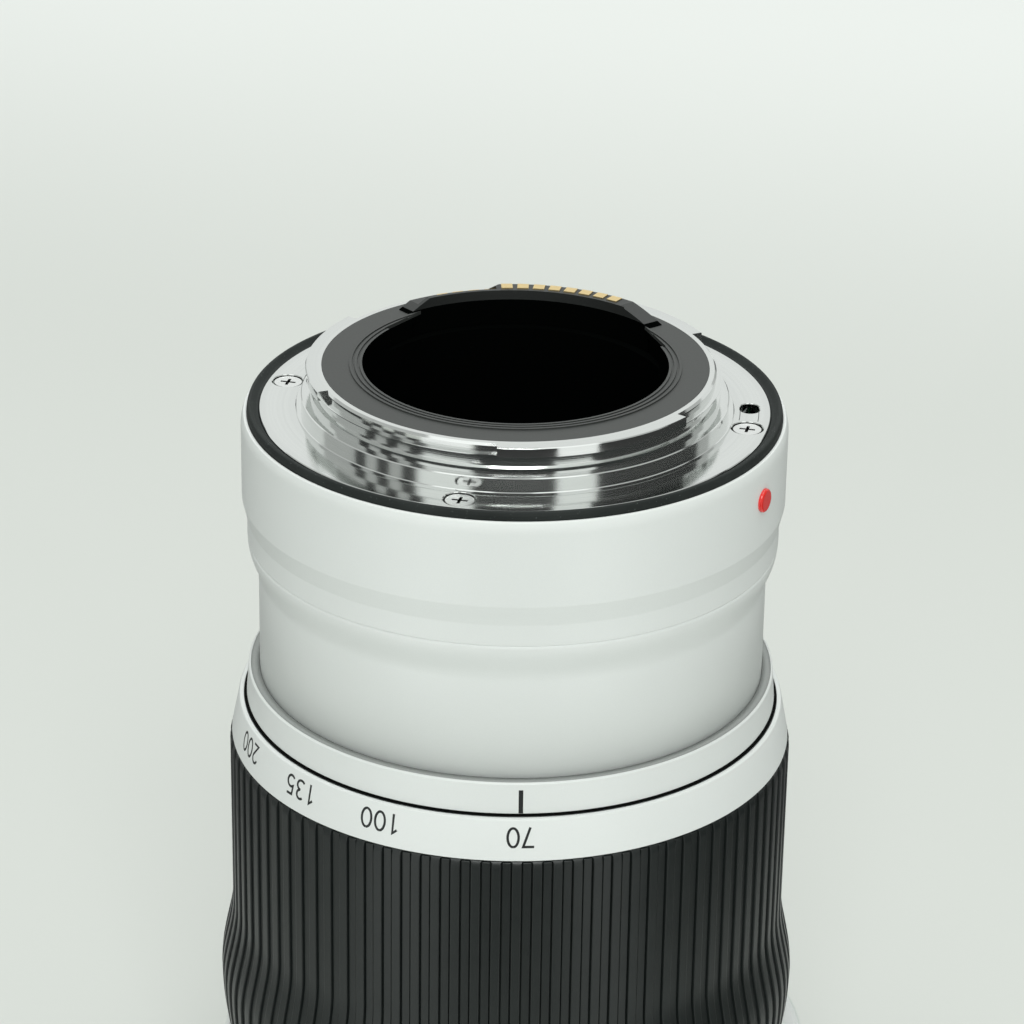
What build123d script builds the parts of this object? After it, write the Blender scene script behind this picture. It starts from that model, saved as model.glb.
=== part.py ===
from build123d import *
import os
from math import cos, degrees, radians, sin, sqrt

# A 70 to 200 mm zoom lens for a mirrorless camera, at its shortest setting.
# Z is the optical axis and points to the camera body. Z zero is the front plane of the front rim.
# The index mark faces -Y. Every value named ..._angle is counted from the index towards +X.
# All lengths are millimetres.

# Lengths along the axis, in order from the front rim to the mount
front_rim_length = 4.3
rim_gap = 0.2
retainer_thickness = 0.4
running_gap = 0.15
control_ring_length = 5.6
spacer_thickness = 0.4
focus_ring_length = 5.0
switch_section_length = 9.3
zoom_grip_length = 46.75
zoom_scale_length = 5.4
index_gap = 0.4
index_ring_length = 4.0
barrel_straight_length = 13.4
barrel_taper_length = 5.1
barrel_land_length = 0.5
cover_step_length = 2.9
cover_slope_length = 2.7
cover_ring_length = 11.3
flange_rise = 0.6

# Running and seated clearances on the radius
slide_fit = 0.08
seat_fit = 0.03

# The nest of tubes under the zoom ring, from the outside in
zoom_ring_radius = 36.2
zoom_ring_wall = 0.82
main_barrel_wall = 1.02
extension_wall = 1.1
cam_wall = 1.22
guide_wall = 1.1

# Zoom movement
zoom_turn_angle = 70.0
extension_travel = 52.0
variator_travel = 18.0
follower_count = 3
follower_first_angle = 30.0
follower_radius = 1.5
follower_head_radius = 2.2
follower_head_depth = 0.9
follower_reach = 0.15

# Outer forms
zoom_grip_radius = 37.3
zoom_grip_front_radius = 37.4
zoom_grip_swell_radius = 38.94
zoom_grip_swell_height = 11.2
zoom_grip_swell_start = 22.3
grip_front_slope = -0.28
grip_rib_count = 90
grip_rib_height = 0.55
grip_groove_width = 1.37
grip_groove_angle = 1.3
grip_end_drop = 0.45
grip_end_length = 1.2
grip_end_rim = 0.3
scale_rear_radius = 36.05
scale_front_radius = 37.05
scale_edge_radius = 0.35
index_front_radius = 35.0
index_rear_radius = 34.7
index_bevel = 0.3
barrel_radius = 33.2
barrel_wall = 1.4
barrel_land_radius = 34.55
cover_step_radius = 34.6
cover_radius = 35.25
cover_wall = 2.25
cover_top_radius = 34.9
cover_round_height = 1.7

# Front group
front_rim_radius = 40.3
filter_thread_radius = 38.1
filter_thread_depth = 2.8
thread_relief = 1.0
thread_relief_length = 0.8
hood_lug_radius = 41.7
hood_lug_count = 3
hood_lug_span = 34.0
hood_lug_thickness = 1.4
hood_lug_inset = 0.7
rim_edge_chamfer = 0.4
extension_length = 61.7
extension_follower_inset = 5.0
front_cell_radius_gap = 0.15
front_cell_wall = 0.9
front_cell_length = 13.6
front_cell_setback = 0.2
front_glass_setback = 0.2
front_glass_thickness = 5.9
doublet_glass_thickness = 4.5
front_glass_bulge = 1.6
doublet_joint_bulge = 2.2
doublet_rear_bulge = -0.7
lock_ring_width = 2.0
lock_ring_thickness = 1.2

# Focus ring, control ring and their seat
ring_seat_wall = 0.7
focus_ring_wall = 2.3
focus_grip_radius = 39.8
focus_rib_count = 72
focus_rib_depth = 0.6
focus_groove_width = 1.5
control_ring_radius = 40.2
control_knurl_count = 72
control_knurl_depth = 0.7
control_knurl_margin = 0.9
spacer_radius = 39.4
retainer_radius = 39.8

# Switch section
switch_section_radius = 38.7
switch_section_edge = 0.5
switch_bulge_radius = 41.0
switch_bulge_span = 80.0
switch_bulge_inset = 0.5
switch_bulge_chamfer = 0.8
switch_panel_thickness = 0.35
switch_panel_span = 74.0
switch_panel_inset = 1.0
switch_middle_angle = 90.0
switch_pitch_angle = 18.0
switch_slot_width = 2.8
switch_slot_height = 5.6
switch_slot_depth = 1.6
switch_knob_width = 2.6
switch_knob_height = 2.6
switch_knob_rise = 0.75
switch_fit = 0.1
switch_travel = 2.4
lock_slider_angle = -90.0
lock_slider_width = 5.0
lock_slot_width = 5.2
lock_slider_rise = 0.9

# Mount
throat_radius = 24.85
mount_plate_radius = 32.9
mount_plate_thickness = 2.0
mount_step_radius = 28.2
mount_step_height = 0.3
mount_base_radius = 27.5
mount_base_height = 1.9
mount_neck_radius = 25.7
mount_ledge_radius = 26.35
mount_rim_radius = 25.9
mount_top_height = 5.65
bayonet_tab_radius = 26.9
bayonet_tab_thickness = 1.25
bayonet_tab_count = 3
bayonet_tab_span = 57.0
bayonet_tab_angle = 21.5
mount_ledge_drop = 0.7
screw_count = 4
screw_first_angle = -15.0
screw_circle_radius = 30.3
screw_head_radius = 1.8
screw_head_thickness = 0.7
screw_head_sink = 0.15
screw_shank_radius = 0.85
screw_length = 5.0
screw_cross_width = 0.4
screw_cross_length = 2.0
screw_cross_depth = 0.4
lock_hole_angle = 87.1
lock_hole_radius = 30.2
lock_hole_length = 2.7
lock_hole_width = 1.9
gasket_radius = 34.45
gasket_crest_radius = 34.15
gasket_depth = 0.8
gasket_rise = 0.55
gasket_lip_thickness = 0.75

# Rear baffle and contacts
baffle_plate_thickness = 1.2
baffle_opening_radius = 19.65
baffle_lip_radius = 21.3
baffle_ridge_height = 0.18
baffle_ridge_width = 0.35
baffle_tube_wall = 1.2
relief_radius = 21.35
relief_depth = 3.0
relief_corner_radius = 20.4
relief_low_angle = 105.5
relief_high_angle = 234.7
relief_flat_low_angle = 125.5
relief_flat_high_angle = 213.5
contact_block_radius = 23.6
contact_wall = 0.55
contact_block_rise = 1.65
contact_block_low_angle = 123.5
contact_block_high_angle = 218.5
contact_step_angle = 187.2
contact_step_drop = 0.7
contact_step_slope = 1.6
contact_slope_length = 5.4
contact_slope_drop = 1.55
contact_end_slope = 3.2
contact_pad_count = 12
contact_low_pad_count = 4
contact_first_angle = 142.8
contact_pad_pitch_angle = 5.43
contact_pad_radius = 22.7
contact_pad_length = 1.5
contact_pad_width = 1.5
contact_pad_sink = 0.3
contact_pad_rise = 0.12

# Frame, board and optics inside the rear barrel
rear_frame_bottom_length = 10.0
rear_frame_wall = 1.15
board_thickness = 1.2
board_drop = 4.8
board_inner_radius = 21.4
board_ledge_width = 1.6
board_ledge_thickness = 1.5
screw_boss_radius = 2.2
screw_boss_height = 3.7
rear_cell_thickness = 5.0
rear_lens_radius = 16.5
rear_lens_lip = 1.0
rear_lens_bulge = 1.2
baffle_seat_depth = 0.8

# Iris and its blades
iris_gap = 2.5
iris_length = 6.5
iris_opening_radius = 17.5
iris_pocket_radius = 27.5
iris_floor = 1.2
iris_blade_count = 9
iris_blade_thickness = 0.16
iris_blade_pitch = 0.22
iris_blade_span = 62.0
iris_blade_inner_radius = 19.0
iris_blade_outer_radius = 26.5

# Variator group
variator_length = 11.0
variator_follower_inset = 4.0
variator_glass_radius = 17.0
variator_glass_thickness = 5.0
variator_glass_bulge = 1.4
variator_pin_depth = 2.0

# Focus group, its rods and its motor
focus_cell_radius = 24.3
focus_cell_length = 6.0
focus_cell_gap = 4.0
focus_travel = 7.0
focus_glass_radius = 14.5
focus_glass_thickness = 3.0
focus_glass_bulge = 1.0
rod_radius = 1.0
rod_circle_radius = 26.0
rod_seat_depth = 0.9
rod_first_angle = 0.0
rod_lug_width = 4.6
motor_angle = 90.0
motor_width = 9.0
motor_depth = 3.4
motor_inner_radius = 26.8
motor_arm_width = 4.0

# Zoom key
key_angle = 180.0
key_width = 6.0
key_height = 3.6
key_setback = 4.0
window_margin = 0.25

# Index dot
dot_angle = 60.4
dot_radius = 1.55
dot_rise = 0.5
dot_seat_depth = 0.6
dot_drop = 5.1

# Cuts run past the faces that they open by this much
overrun = 0.5

# Levels along the axis that follow from the lengths
rim_rear_z = front_rim_length
retainer_z = rim_rear_z + rim_gap
seat_front_z = retainer_z + retainer_thickness
control_ring_z = seat_front_z + running_gap
spacer_z = control_ring_z + control_ring_length + running_gap
focus_ring_z = spacer_z + spacer_thickness + running_gap
switch_section_z = focus_ring_z + focus_ring_length + running_gap
switch_rear_z = switch_section_z + switch_section_length
zoom_grip_z = switch_rear_z + running_gap
scale_z = zoom_grip_z + zoom_grip_length
zoom_rear_z = scale_z + zoom_scale_length
index_ring_z = zoom_rear_z + index_gap
index_rear_z = index_ring_z + index_ring_length
taper_z = index_rear_z + barrel_straight_length
land_z = taper_z + barrel_taper_length
cover_z = land_z + barrel_land_length
cover_slope_z = cover_z + cover_step_length
cover_ring_z = cover_slope_z + cover_slope_length
cover_rear_z = cover_ring_z + cover_ring_length
flange_z = cover_rear_z + flange_rise
plate_z = flange_z - mount_plate_thickness
mount_top_z = flange_z + mount_top_height

# Radii that follow from the nest of tubes
zoom_ring_bore = zoom_ring_radius - zoom_ring_wall
main_radius = zoom_ring_bore - slide_fit
main_bore = main_radius - main_barrel_wall
extension_radius = main_bore - slide_fit
extension_bore = extension_radius - extension_wall
cam_radius = extension_bore - slide_fit
cam_bore = cam_radius - cam_wall
guide_radius = cam_bore - slide_fit
guide_bore = guide_radius - guide_wall
barrel_bore = barrel_radius - barrel_wall
cover_bore = cover_radius - cover_wall
frame_radius = cover_bore - seat_fit

# Followers and their levels
extension_rear_z = rim_rear_z + extension_length
extension_follower_z = extension_rear_z - extension_follower_inset
key_z = extension_rear_z + key_setback
cam_rear_z = key_z + key_setback
flange_thickness = main_barrel_wall
guide_flange_z = cam_rear_z + running_gap
barrel_flange_z = guide_flange_z + flange_thickness
main_rear_z = zoom_rear_z
slot_width = 2 * (follower_radius + slide_fit)
variator_rear_z = extension_follower_z + variator_follower_inset
iris_z = variator_rear_z + iris_gap
iris_rear_z = iris_z + iris_length
focus_cell_z = iris_rear_z + focus_cell_gap
rear_cell_z = focus_cell_z + focus_cell_length + focus_travel + running_gap
rear_cell_rear_z = rear_cell_z + rear_cell_thickness
board_z = plate_z - board_drop


def around(index_angle):
    """Angle from +X of a place that is counted from the index mark."""
    return index_angle - 90


def wall_plane(index_angle, radius, height):
    """Plane that touches a cylinder about the axis: x runs round it, y runs up, z points out."""
    turn_angle = radians(around(index_angle))
    outward = (cos(turn_angle), sin(turn_angle), 0)
    origin = (radius * outward[0], radius * outward[1], height)
    return Plane(origin=origin, x_dir=(-outward[1], outward[0], 0), z_dir=outward)


def turned(*points):
    """Turn a closed outline of (radius, height) points about the axis, in the part that is open."""
    with BuildSketch(Plane.XZ) as outline:
        with BuildLine():
            Polyline(*points, close=True)
        make_face()
    revolve(outline.sketch, axis=Axis.Z)


def tube(inner, outer, low, high):
    """Turn a plain tube between two radii and two levels."""
    turned((inner, low), (outer, low), (outer, high), (inner, high))


def ring_sector(inner, outer, middle_angle, span):
    """Face of a ring sector, in the sketch that is open."""
    start = around(middle_angle) - span / 2
    with BuildLine() as edge:
        far_arc = CenterArc((0, 0), outer, start, span)
        near_arc = CenterArc((0, 0), inner, start, span)
        Line(near_arc @ 0, far_arc @ 0)
        Line(near_arc @ 1, far_arc @ 1)
    make_face(edge.line.edges())


def dome_height(radius, bulge, at):
    """Height of a dome of the given rim radius and bulge, above its rim, at one radius."""
    ball = (radius * radius + bulge * bulge) / (2 * bulge)
    return sqrt(ball * ball - at * at) - (ball - bulge)


def lens_element(radius, front_rim_z, rear_rim_z, front_bulge, rear_bulge):
    """Turn a lens. A bulge above zero stands out of the front rim (down) or the rear rim (up)."""
    half = radius / 2
    front_mid = front_rim_z - (dome_height(radius, abs(front_bulge), half) * (1 if front_bulge > 0 else -1))
    rear_mid = rear_rim_z + (dome_height(radius, abs(rear_bulge), half) * (1 if rear_bulge > 0 else -1))
    with BuildSketch(Plane.XZ) as outline:
        with BuildLine():
            Line((0, rear_rim_z + rear_bulge), (0, front_rim_z - front_bulge))
            ThreePointArc((0, front_rim_z - front_bulge), (half, front_mid), (radius, front_rim_z))
            Line((radius, front_rim_z), (radius, rear_rim_z))
            ThreePointArc((radius, rear_rim_z), (half, rear_mid), (0, rear_rim_z + rear_bulge))
        make_face()
    revolve(outline.sketch, axis=Axis.Z)


os.makedirs("parts", exist_ok=True)

# Bayonet mount: turned metal, a flange plate with a stepped neck and three tabs
tab_z = mount_top_z - bayonet_tab_thickness
with BuildPart() as bayonet_mount:
    turned(
        (throat_radius, plate_z),
        (mount_plate_radius, plate_z),
        (mount_plate_radius, flange_z),
        (mount_step_radius, flange_z),
        (mount_step_radius, flange_z + mount_step_height),
        (mount_base_radius, flange_z + mount_step_height),
        (mount_base_radius, flange_z + mount_base_height),
        (mount_neck_radius, flange_z + mount_base_height),
        (mount_neck_radius, tab_z),
        (mount_ledge_radius, tab_z),
        (mount_ledge_radius, mount_top_z - mount_ledge_drop),
        (mount_rim_radius, mount_top_z),
        (throat_radius, mount_top_z),
    )
    with BuildSketch(Plane.XY.offset(tab_z)):
        for tab in range(bayonet_tab_count):
            tab_middle = bayonet_tab_angle + tab * 360 / bayonet_tab_count
            ring_sector(mount_neck_radius, bayonet_tab_radius, tab_middle, bayonet_tab_span)
    extrude(amount=bayonet_tab_thickness)
    with BuildSketch(Plane.XY.offset(flange_z)):
        with PolarLocations(screw_circle_radius, screw_count, around(screw_first_angle)):
            Circle(screw_head_radius + seat_fit)
    extrude(amount=-(screw_head_sink + screw_head_thickness), mode=Mode.SUBTRACT)
    with BuildSketch(Plane.XY.offset(flange_z)):
        with PolarLocations(screw_circle_radius, screw_count, around(screw_first_angle)):
            Circle(screw_shank_radius + seat_fit)
        with PolarLocations(lock_hole_radius, 1, around(lock_hole_angle)):
            SlotOverall(lock_hole_length, lock_hole_width, rotation=90)
    extrude(amount=-(mount_plate_thickness + overrun), mode=Mode.SUBTRACT)
bayonet_mount.part.label = "bayonet_mount"
export_step(bayonet_mount.part, "parts/bayonet_mount.step")

# Mount screws: four sunk screws with a cross recess
screw_top_z = flange_z - screw_head_sink
with BuildPart() as mount_screws:
    with BuildSketch(Plane.XY.offset(screw_top_z)):
        with PolarLocations(screw_circle_radius, screw_count, around(screw_first_angle)):
            Circle(screw_head_radius)
    extrude(amount=-screw_head_thickness)
    with BuildSketch(Plane.XY.offset(screw_top_z - screw_head_thickness)):
        with PolarLocations(screw_circle_radius, screw_count, around(screw_first_angle)):
            Circle(screw_shank_radius)
    extrude(amount=-(screw_length - screw_head_thickness))
    with BuildSketch(Plane.XY.offset(screw_top_z)):
        with PolarLocations(screw_circle_radius, screw_count, around(screw_first_angle)):
            Rectangle(screw_cross_length, screw_cross_width)
            Rectangle(screw_cross_width, screw_cross_length)
    extrude(amount=-screw_cross_depth, mode=Mode.SUBTRACT)
mount_screws.part.label = "mount_screws"
export_step(mount_screws.part, "parts/mount_screws.step")

# Mount gasket: a rubber lip that seals against the camera body
gasket_z = cover_rear_z - gasket_depth
gasket_bore = mount_plate_radius + seat_fit
with BuildPart() as mount_gasket:
    turned(
        (gasket_bore, gasket_z),
        (gasket_radius, gasket_z),
        (gasket_radius, cover_rear_z + gasket_rise / 2),
        (gasket_crest_radius, flange_z + gasket_rise),
        (gasket_crest_radius - gasket_lip_thickness, flange_z + gasket_rise / 2),
        (gasket_bore, flange_z),
    )
mount_gasket.part.label = "mount_gasket"
export_step(mount_gasket.part, "parts/mount_gasket.step")

# Rear cover: the painted ring behind the mount, with a sloped step towards the barrel
with BuildPart() as rear_cover:
    with BuildSketch(Plane.XZ) as cover_outline:
        with BuildLine():
            Polyline(
                (cover_bore, cover_z),
                (cover_step_radius, cover_z),
                (cover_step_radius, cover_slope_z),
                (cover_radius, cover_ring_z),
                (cover_radius, cover_rear_z - cover_round_height),
            )
            RadiusArc(
                (cover_radius, cover_rear_z - cover_round_height),
                (cover_top_radius, cover_rear_z),
                -2 * cover_round_height,
            )
            Polyline(
                (cover_top_radius, cover_rear_z),
                (gasket_radius + seat_fit, cover_rear_z),
                (gasket_radius + seat_fit, gasket_z),
                (cover_bore, gasket_z),
                (cover_bore, cover_z),
            )
        make_face()
    revolve(axis=Axis.Z)
    dot_z = cover_rear_z - dot_drop
    with BuildSketch(wall_plane(dot_angle, cover_radius - dot_seat_depth, dot_z)):
        Circle(dot_radius + seat_fit)
    extrude(amount=dot_seat_depth + overrun, mode=Mode.SUBTRACT)
rear_cover.part.label = "rear_cover"
export_step(rear_cover.part, "parts/rear_cover.step")

# Alignment dot: a domed coloured pip in the rear cover
with BuildPart() as alignment_dot:
    with BuildSketch(wall_plane(dot_angle, cover_radius - dot_seat_depth, dot_z)):
        Circle(dot_radius)
    extrude(amount=dot_seat_depth + dot_rise)
    dot_rim = alignment_dot.faces().sort_by(SortBy.DISTANCE)[-1].edges()
    fillet(dot_rim, radius=dot_rise * 2 / 3)
alignment_dot.part.label = "alignment_dot"
export_step(alignment_dot.part, "parts/alignment_dot.step")

# Rear frame: the metal tube that carries the mount, the board and the rear lens cell
frame_bottom_z = cover_z - rear_frame_bottom_length
frame_low_radius = barrel_bore - seat_fit
frame_low_bore = frame_low_radius - rear_frame_wall
frame_bore = frame_radius - 1.5 * rear_frame_wall
with BuildPart() as rear_frame:
    turned(
        (frame_low_bore, frame_bottom_z),
        (frame_low_radius, frame_bottom_z),
        (frame_low_radius, cover_z),
        (frame_radius, cover_z),
        (frame_radius, plate_z),
        (frame_bore, plate_z),
        (frame_bore, board_z),
        (frame_bore - board_ledge_width, board_z),
        (frame_bore - board_ledge_width, board_z - board_ledge_thickness),
        (frame_bore, board_z - board_ledge_thickness - board_ledge_width),
        (frame_low_bore, cover_z + rear_frame_wall),
    )
    with BuildSketch(Plane.XY.offset(plate_z)):
        with PolarLocations(screw_circle_radius, screw_count, around(screw_first_angle)):
            Circle(screw_boss_radius)
    extrude(amount=-screw_boss_height)
    with BuildSketch(Plane.XY.offset(plate_z)):
        with PolarLocations(screw_circle_radius, screw_count, around(screw_first_angle)):
            Circle(screw_shank_radius + seat_fit)
    extrude(amount=-screw_boss_height, mode=Mode.SUBTRACT)
rear_frame.part.label = "rear_frame"
export_step(rear_frame.part, "parts/rear_frame.step")

# Circuit board: a ring under the mount
with BuildPart() as circuit_board:
    tube(board_inner_radius, frame_bore - slide_fit, board_z, board_z + board_thickness)
    with BuildSketch(Plane.XY.offset(board_z)):
        with PolarLocations(screw_circle_radius, screw_count, around(screw_first_angle)):
            Circle(screw_boss_radius)
    extrude(amount=board_thickness, mode=Mode.SUBTRACT)
circuit_board.part.label = "circuit_board"
export_step(circuit_board.part, "parts/circuit_board.step")

# Contact block: moulded black plastic that stands through the baffle, its last pads one step lower
block_high_z = mount_top_z + contact_block_rise
block_low_z = block_high_z - contact_step_drop
block_bottom_z = board_z + board_thickness
pad_start = around(contact_first_angle)
high_pad_count = contact_pad_count - contact_low_pad_count
high_pad_range = (high_pad_count - 1) * contact_pad_pitch_angle
low_pad_start = pad_start + high_pad_count * contact_pad_pitch_angle
low_pad_range = (contact_low_pad_count - 1) * contact_pad_pitch_angle
block_span = contact_block_high_angle - contact_block_low_angle
block_middle = (contact_block_high_angle + contact_block_low_angle) / 2
step_span = contact_block_high_angle - contact_step_angle
step_middle = (contact_block_high_angle + contact_step_angle) / 2
with BuildPart() as contact_block:
    with BuildSketch(Plane.XY.offset(block_bottom_z)):
        ring_sector(relief_radius, contact_block_radius, block_middle, block_span)
    extrude(amount=block_high_z - block_bottom_z)
    with BuildSketch(Plane.XY.offset(block_low_z)):
        ring_sector(relief_radius + contact_wall, contact_block_radius + overrun, step_middle, step_span)
    extrude(amount=contact_step_drop + overrun, mode=Mode.SUBTRACT)
    for end_angle, inner_radius, slope_run, slope_drop in (
        (contact_block_low_angle, relief_radius - overrun, contact_slope_length, contact_slope_drop),
        (contact_step_angle, relief_radius + contact_wall, -contact_step_slope, contact_step_drop),
        (contact_block_high_angle, relief_radius - overrun, -contact_end_slope, contact_slope_drop),
    ):
        with BuildSketch(wall_plane(end_angle, inner_radius, block_high_z)):
            with BuildLine():
                Polyline((slope_run, 0), (slope_run, overrun), (0, overrun), (0, -slope_drop), close=True)
            make_face()
        extrude(amount=contact_block_radius + overrun - inner_radius, mode=Mode.SUBTRACT)
    with BuildSketch(Plane.XY.offset(block_high_z - contact_pad_sink)):
        with PolarLocations(contact_pad_radius, high_pad_count, pad_start, high_pad_range, endpoint=True):
            Rectangle(contact_pad_length, contact_pad_width)
    extrude(amount=contact_pad_sink + overrun, mode=Mode.SUBTRACT)
    with BuildSketch(Plane.XY.offset(block_low_z - contact_pad_sink)):
        with PolarLocations(
            contact_pad_radius, contact_low_pad_count, low_pad_start, low_pad_range, endpoint=True
        ):
            Rectangle(contact_pad_length, contact_pad_width)
    extrude(amount=contact_pad_sink + overrun, mode=Mode.SUBTRACT)
contact_block.part.label = "contact_block"
export_step(contact_block.part, "parts/contact_block.step")

# Contact pads: twelve gilded pads, eight high and four low
pad_height = contact_pad_sink + contact_pad_rise
with BuildPart() as contact_pads:
    with BuildSketch(Plane.XY.offset(block_high_z - contact_pad_sink)):
        with PolarLocations(contact_pad_radius, high_pad_count, pad_start, high_pad_range, endpoint=True):
            Rectangle(contact_pad_length, contact_pad_width)
    extrude(amount=pad_height)
    with BuildSketch(Plane.XY.offset(block_low_z - contact_pad_sink)):
        with PolarLocations(
            contact_pad_radius, contact_low_pad_count, low_pad_start, low_pad_range, endpoint=True
        ):
            Rectangle(contact_pad_length, contact_pad_width)
    extrude(amount=pad_height)
contact_pads.part.label = "contact_pads"
export_step(contact_pads.part, "parts/contact_pads.step")

# Rear baffle: black plastic, a flush ring with three ridges and a tunnel down to the rear lens
baffle_plate_z = mount_top_z - baffle_plate_thickness
baffle_tube_radius = baffle_opening_radius + baffle_tube_wall
baffle_radius = throat_radius - seat_fit
ridge_radii = [
    baffle_opening_radius + (baffle_lip_radius - baffle_opening_radius) * ridge_share
    for ridge_share in (0, 0.4, 0.8)
]
with BuildPart() as rear_baffle:
    turned(
        (baffle_opening_radius, rear_cell_rear_z - baffle_seat_depth),
        (baffle_tube_radius, rear_cell_rear_z - baffle_seat_depth),
        (baffle_tube_radius, baffle_plate_z),
        (baffle_radius, baffle_plate_z),
        (baffle_radius, mount_top_z),
        (baffle_opening_radius, mount_top_z),
    )
    for ridge_radius in ridge_radii:
        tube(ridge_radius, ridge_radius + baffle_ridge_width, mount_top_z, mount_top_z + baffle_ridge_height)
    with BuildSketch(Plane.XY.offset(mount_top_z - relief_depth)):
        flat_middle = (relief_flat_low_angle + relief_flat_high_angle) / 2
        flat_span = relief_flat_high_angle - relief_flat_low_angle
        ring_sector(baffle_opening_radius - overrun, relief_radius, flat_middle, flat_span)
        for corner_angle, flat_angle in (
            (relief_low_angle, relief_flat_low_angle),
            (relief_high_angle, relief_flat_high_angle),
        ):
            corner = Vector(relief_corner_radius, 0).rotate(Axis.Z, around(corner_angle))
            flat_end = Vector(relief_radius, 0).rotate(Axis.Z, around(flat_angle))
            with BuildLine():
                Polyline((0, 0), corner, flat_end, close=True)
            make_face()
    extrude(amount=relief_depth + overrun, mode=Mode.SUBTRACT)
    with BuildSketch(Plane.XY.offset(baffle_plate_z)):
        ring_sector(relief_radius - seat_fit, contact_block_radius + seat_fit, block_middle, block_span)
    extrude(amount=baffle_plate_thickness + overrun, mode=Mode.SUBTRACT)
rear_baffle.part.label = "rear_baffle"
export_step(rear_baffle.part, "parts/rear_baffle.step")

# Rear lens cell: carries the rear lens, the baffle and the ends of the focus rods
rod_angles = (rod_first_angle, rod_first_angle + 180)
with BuildPart() as rear_lens_cell:
    turned(
        (rear_lens_radius - rear_lens_lip, rear_cell_z),
        (frame_low_bore - seat_fit, rear_cell_z),
        (frame_low_bore - seat_fit, rear_cell_rear_z),
        (baffle_tube_radius + seat_fit, rear_cell_rear_z),
        (baffle_tube_radius + seat_fit, rear_cell_rear_z - baffle_seat_depth),
        (rear_lens_radius + seat_fit, rear_cell_rear_z - baffle_seat_depth),
        (rear_lens_radius + seat_fit, rear_cell_z + rear_lens_lip),
        (rear_lens_radius - rear_lens_lip, rear_cell_z + rear_lens_lip),
    )
    with BuildSketch(Plane.XY.offset(rear_cell_z)):
        with PolarLocations(rod_circle_radius, len(rod_angles), around(rod_first_angle)):
            Circle(rod_radius + seat_fit)
    extrude(amount=rod_seat_depth, mode=Mode.SUBTRACT)
rear_lens_cell.part.label = "rear_lens_cell"
export_step(rear_lens_cell.part, "parts/rear_lens_cell.step")

# Rear lens
with BuildPart() as rear_lens:
    lens_element(
        rear_lens_radius,
        rear_cell_z + rear_lens_lip,
        rear_cell_rear_z - baffle_seat_depth,
        -rear_lens_bulge / 2,
        rear_lens_bulge,
    )
rear_lens.part.label = "rear_lens"
export_step(rear_lens.part, "parts/rear_lens.step")

# Rear barrel: the white tube with an S-shaped flare up to the rear cover
with BuildPart() as rear_barrel:
    with BuildSketch(Plane.XZ):
        with BuildLine():
            Polyline(
                (barrel_radius, taper_z),
                (barrel_radius, barrel_flange_z + flange_thickness),
                (main_bore - seat_fit, barrel_flange_z + flange_thickness),
                (main_bore - seat_fit, barrel_flange_z),
                (barrel_bore, barrel_flange_z),
                (barrel_bore, cover_z),
                (barrel_land_radius, cover_z),
                (barrel_land_radius, land_z),
            )
            Spline(
                (barrel_radius, taper_z),
                ((barrel_radius + barrel_land_radius) / 2, (taper_z + land_z) / 2),
                (barrel_land_radius, land_z),
                tangents=((0, 1), (0, 1)),
            )
        make_face()
    revolve(axis=Axis.Z)
rear_barrel.part.label = "rear_barrel"
export_step(rear_barrel.part, "parts/rear_barrel.step")

# Index ring: the fixed ring with the index mark, seated on the flange of the rear barrel
with BuildPart() as index_ring:
    turned(
        (barrel_radius + seat_fit, barrel_flange_z + flange_thickness),
        (main_bore - seat_fit, barrel_flange_z + flange_thickness),
        (main_bore - seat_fit, index_ring_z),
        (index_front_radius, index_ring_z),
        (index_rear_radius, index_rear_z),
        (barrel_radius + index_bevel, index_rear_z),
        (barrel_radius + seat_fit, index_rear_z - index_bevel),
    )
index_ring.part.label = "index_ring"
export_step(index_ring.part, "parts/index_ring.step")

# Main barrel: the fixed tube that the zoom ring turns on, with a window for the zoom key
key_half_span = degrees(key_width / (2 * main_bore))
window_span = zoom_turn_angle + 2 * key_half_span + 2 * degrees(window_margin / main_bore)
window_middle = key_angle + zoom_turn_angle / 2
with BuildPart() as main_barrel:
    tube(main_bore, main_radius, seat_front_z, main_rear_z)
    with BuildSketch(Plane.XY.offset(key_z - key_height / 2 - window_margin)):
        ring_sector(main_bore - overrun, main_radius + overrun, window_middle, window_span)
    extrude(amount=key_height + 2 * window_margin, mode=Mode.SUBTRACT)
main_barrel.part.label = "main_barrel"
export_step(main_barrel.part, "parts/main_barrel.step")

# Guide tube: fixed, with three long and three short straight slots for the followers
extension_slot_middle_z = extension_follower_z - extension_travel / 2
variator_slot_middle_z = extension_follower_z - variator_travel / 2
follower_step = 360 / follower_count
with BuildPart() as guide_tube:
    turned(
        (guide_bore, seat_front_z),
        (guide_radius, seat_front_z),
        (guide_radius, guide_flange_z),
        (main_bore - seat_fit, guide_flange_z),
        (main_bore - seat_fit, barrel_flange_z),
        (guide_bore, barrel_flange_z),
    )
    for number in range(follower_count):
        long_angle = follower_first_angle + number * follower_step
        with BuildSketch(wall_plane(long_angle, guide_bore - overrun, extension_slot_middle_z)):
            SlotCenterToCenter(extension_travel, slot_width, rotation=90)
        extrude(amount=guide_wall + 2 * overrun, mode=Mode.SUBTRACT)
        short_angle = long_angle + follower_step / 2
        with BuildSketch(wall_plane(short_angle, guide_bore - overrun, variator_slot_middle_z)):
            SlotCenterToCenter(variator_travel, slot_width, rotation=90)
        extrude(amount=guide_wall + 2 * overrun, mode=Mode.SUBTRACT)
guide_tube.part.label = "guide_tube"
export_step(guide_tube.part, "parts/guide_tube.step")


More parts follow.
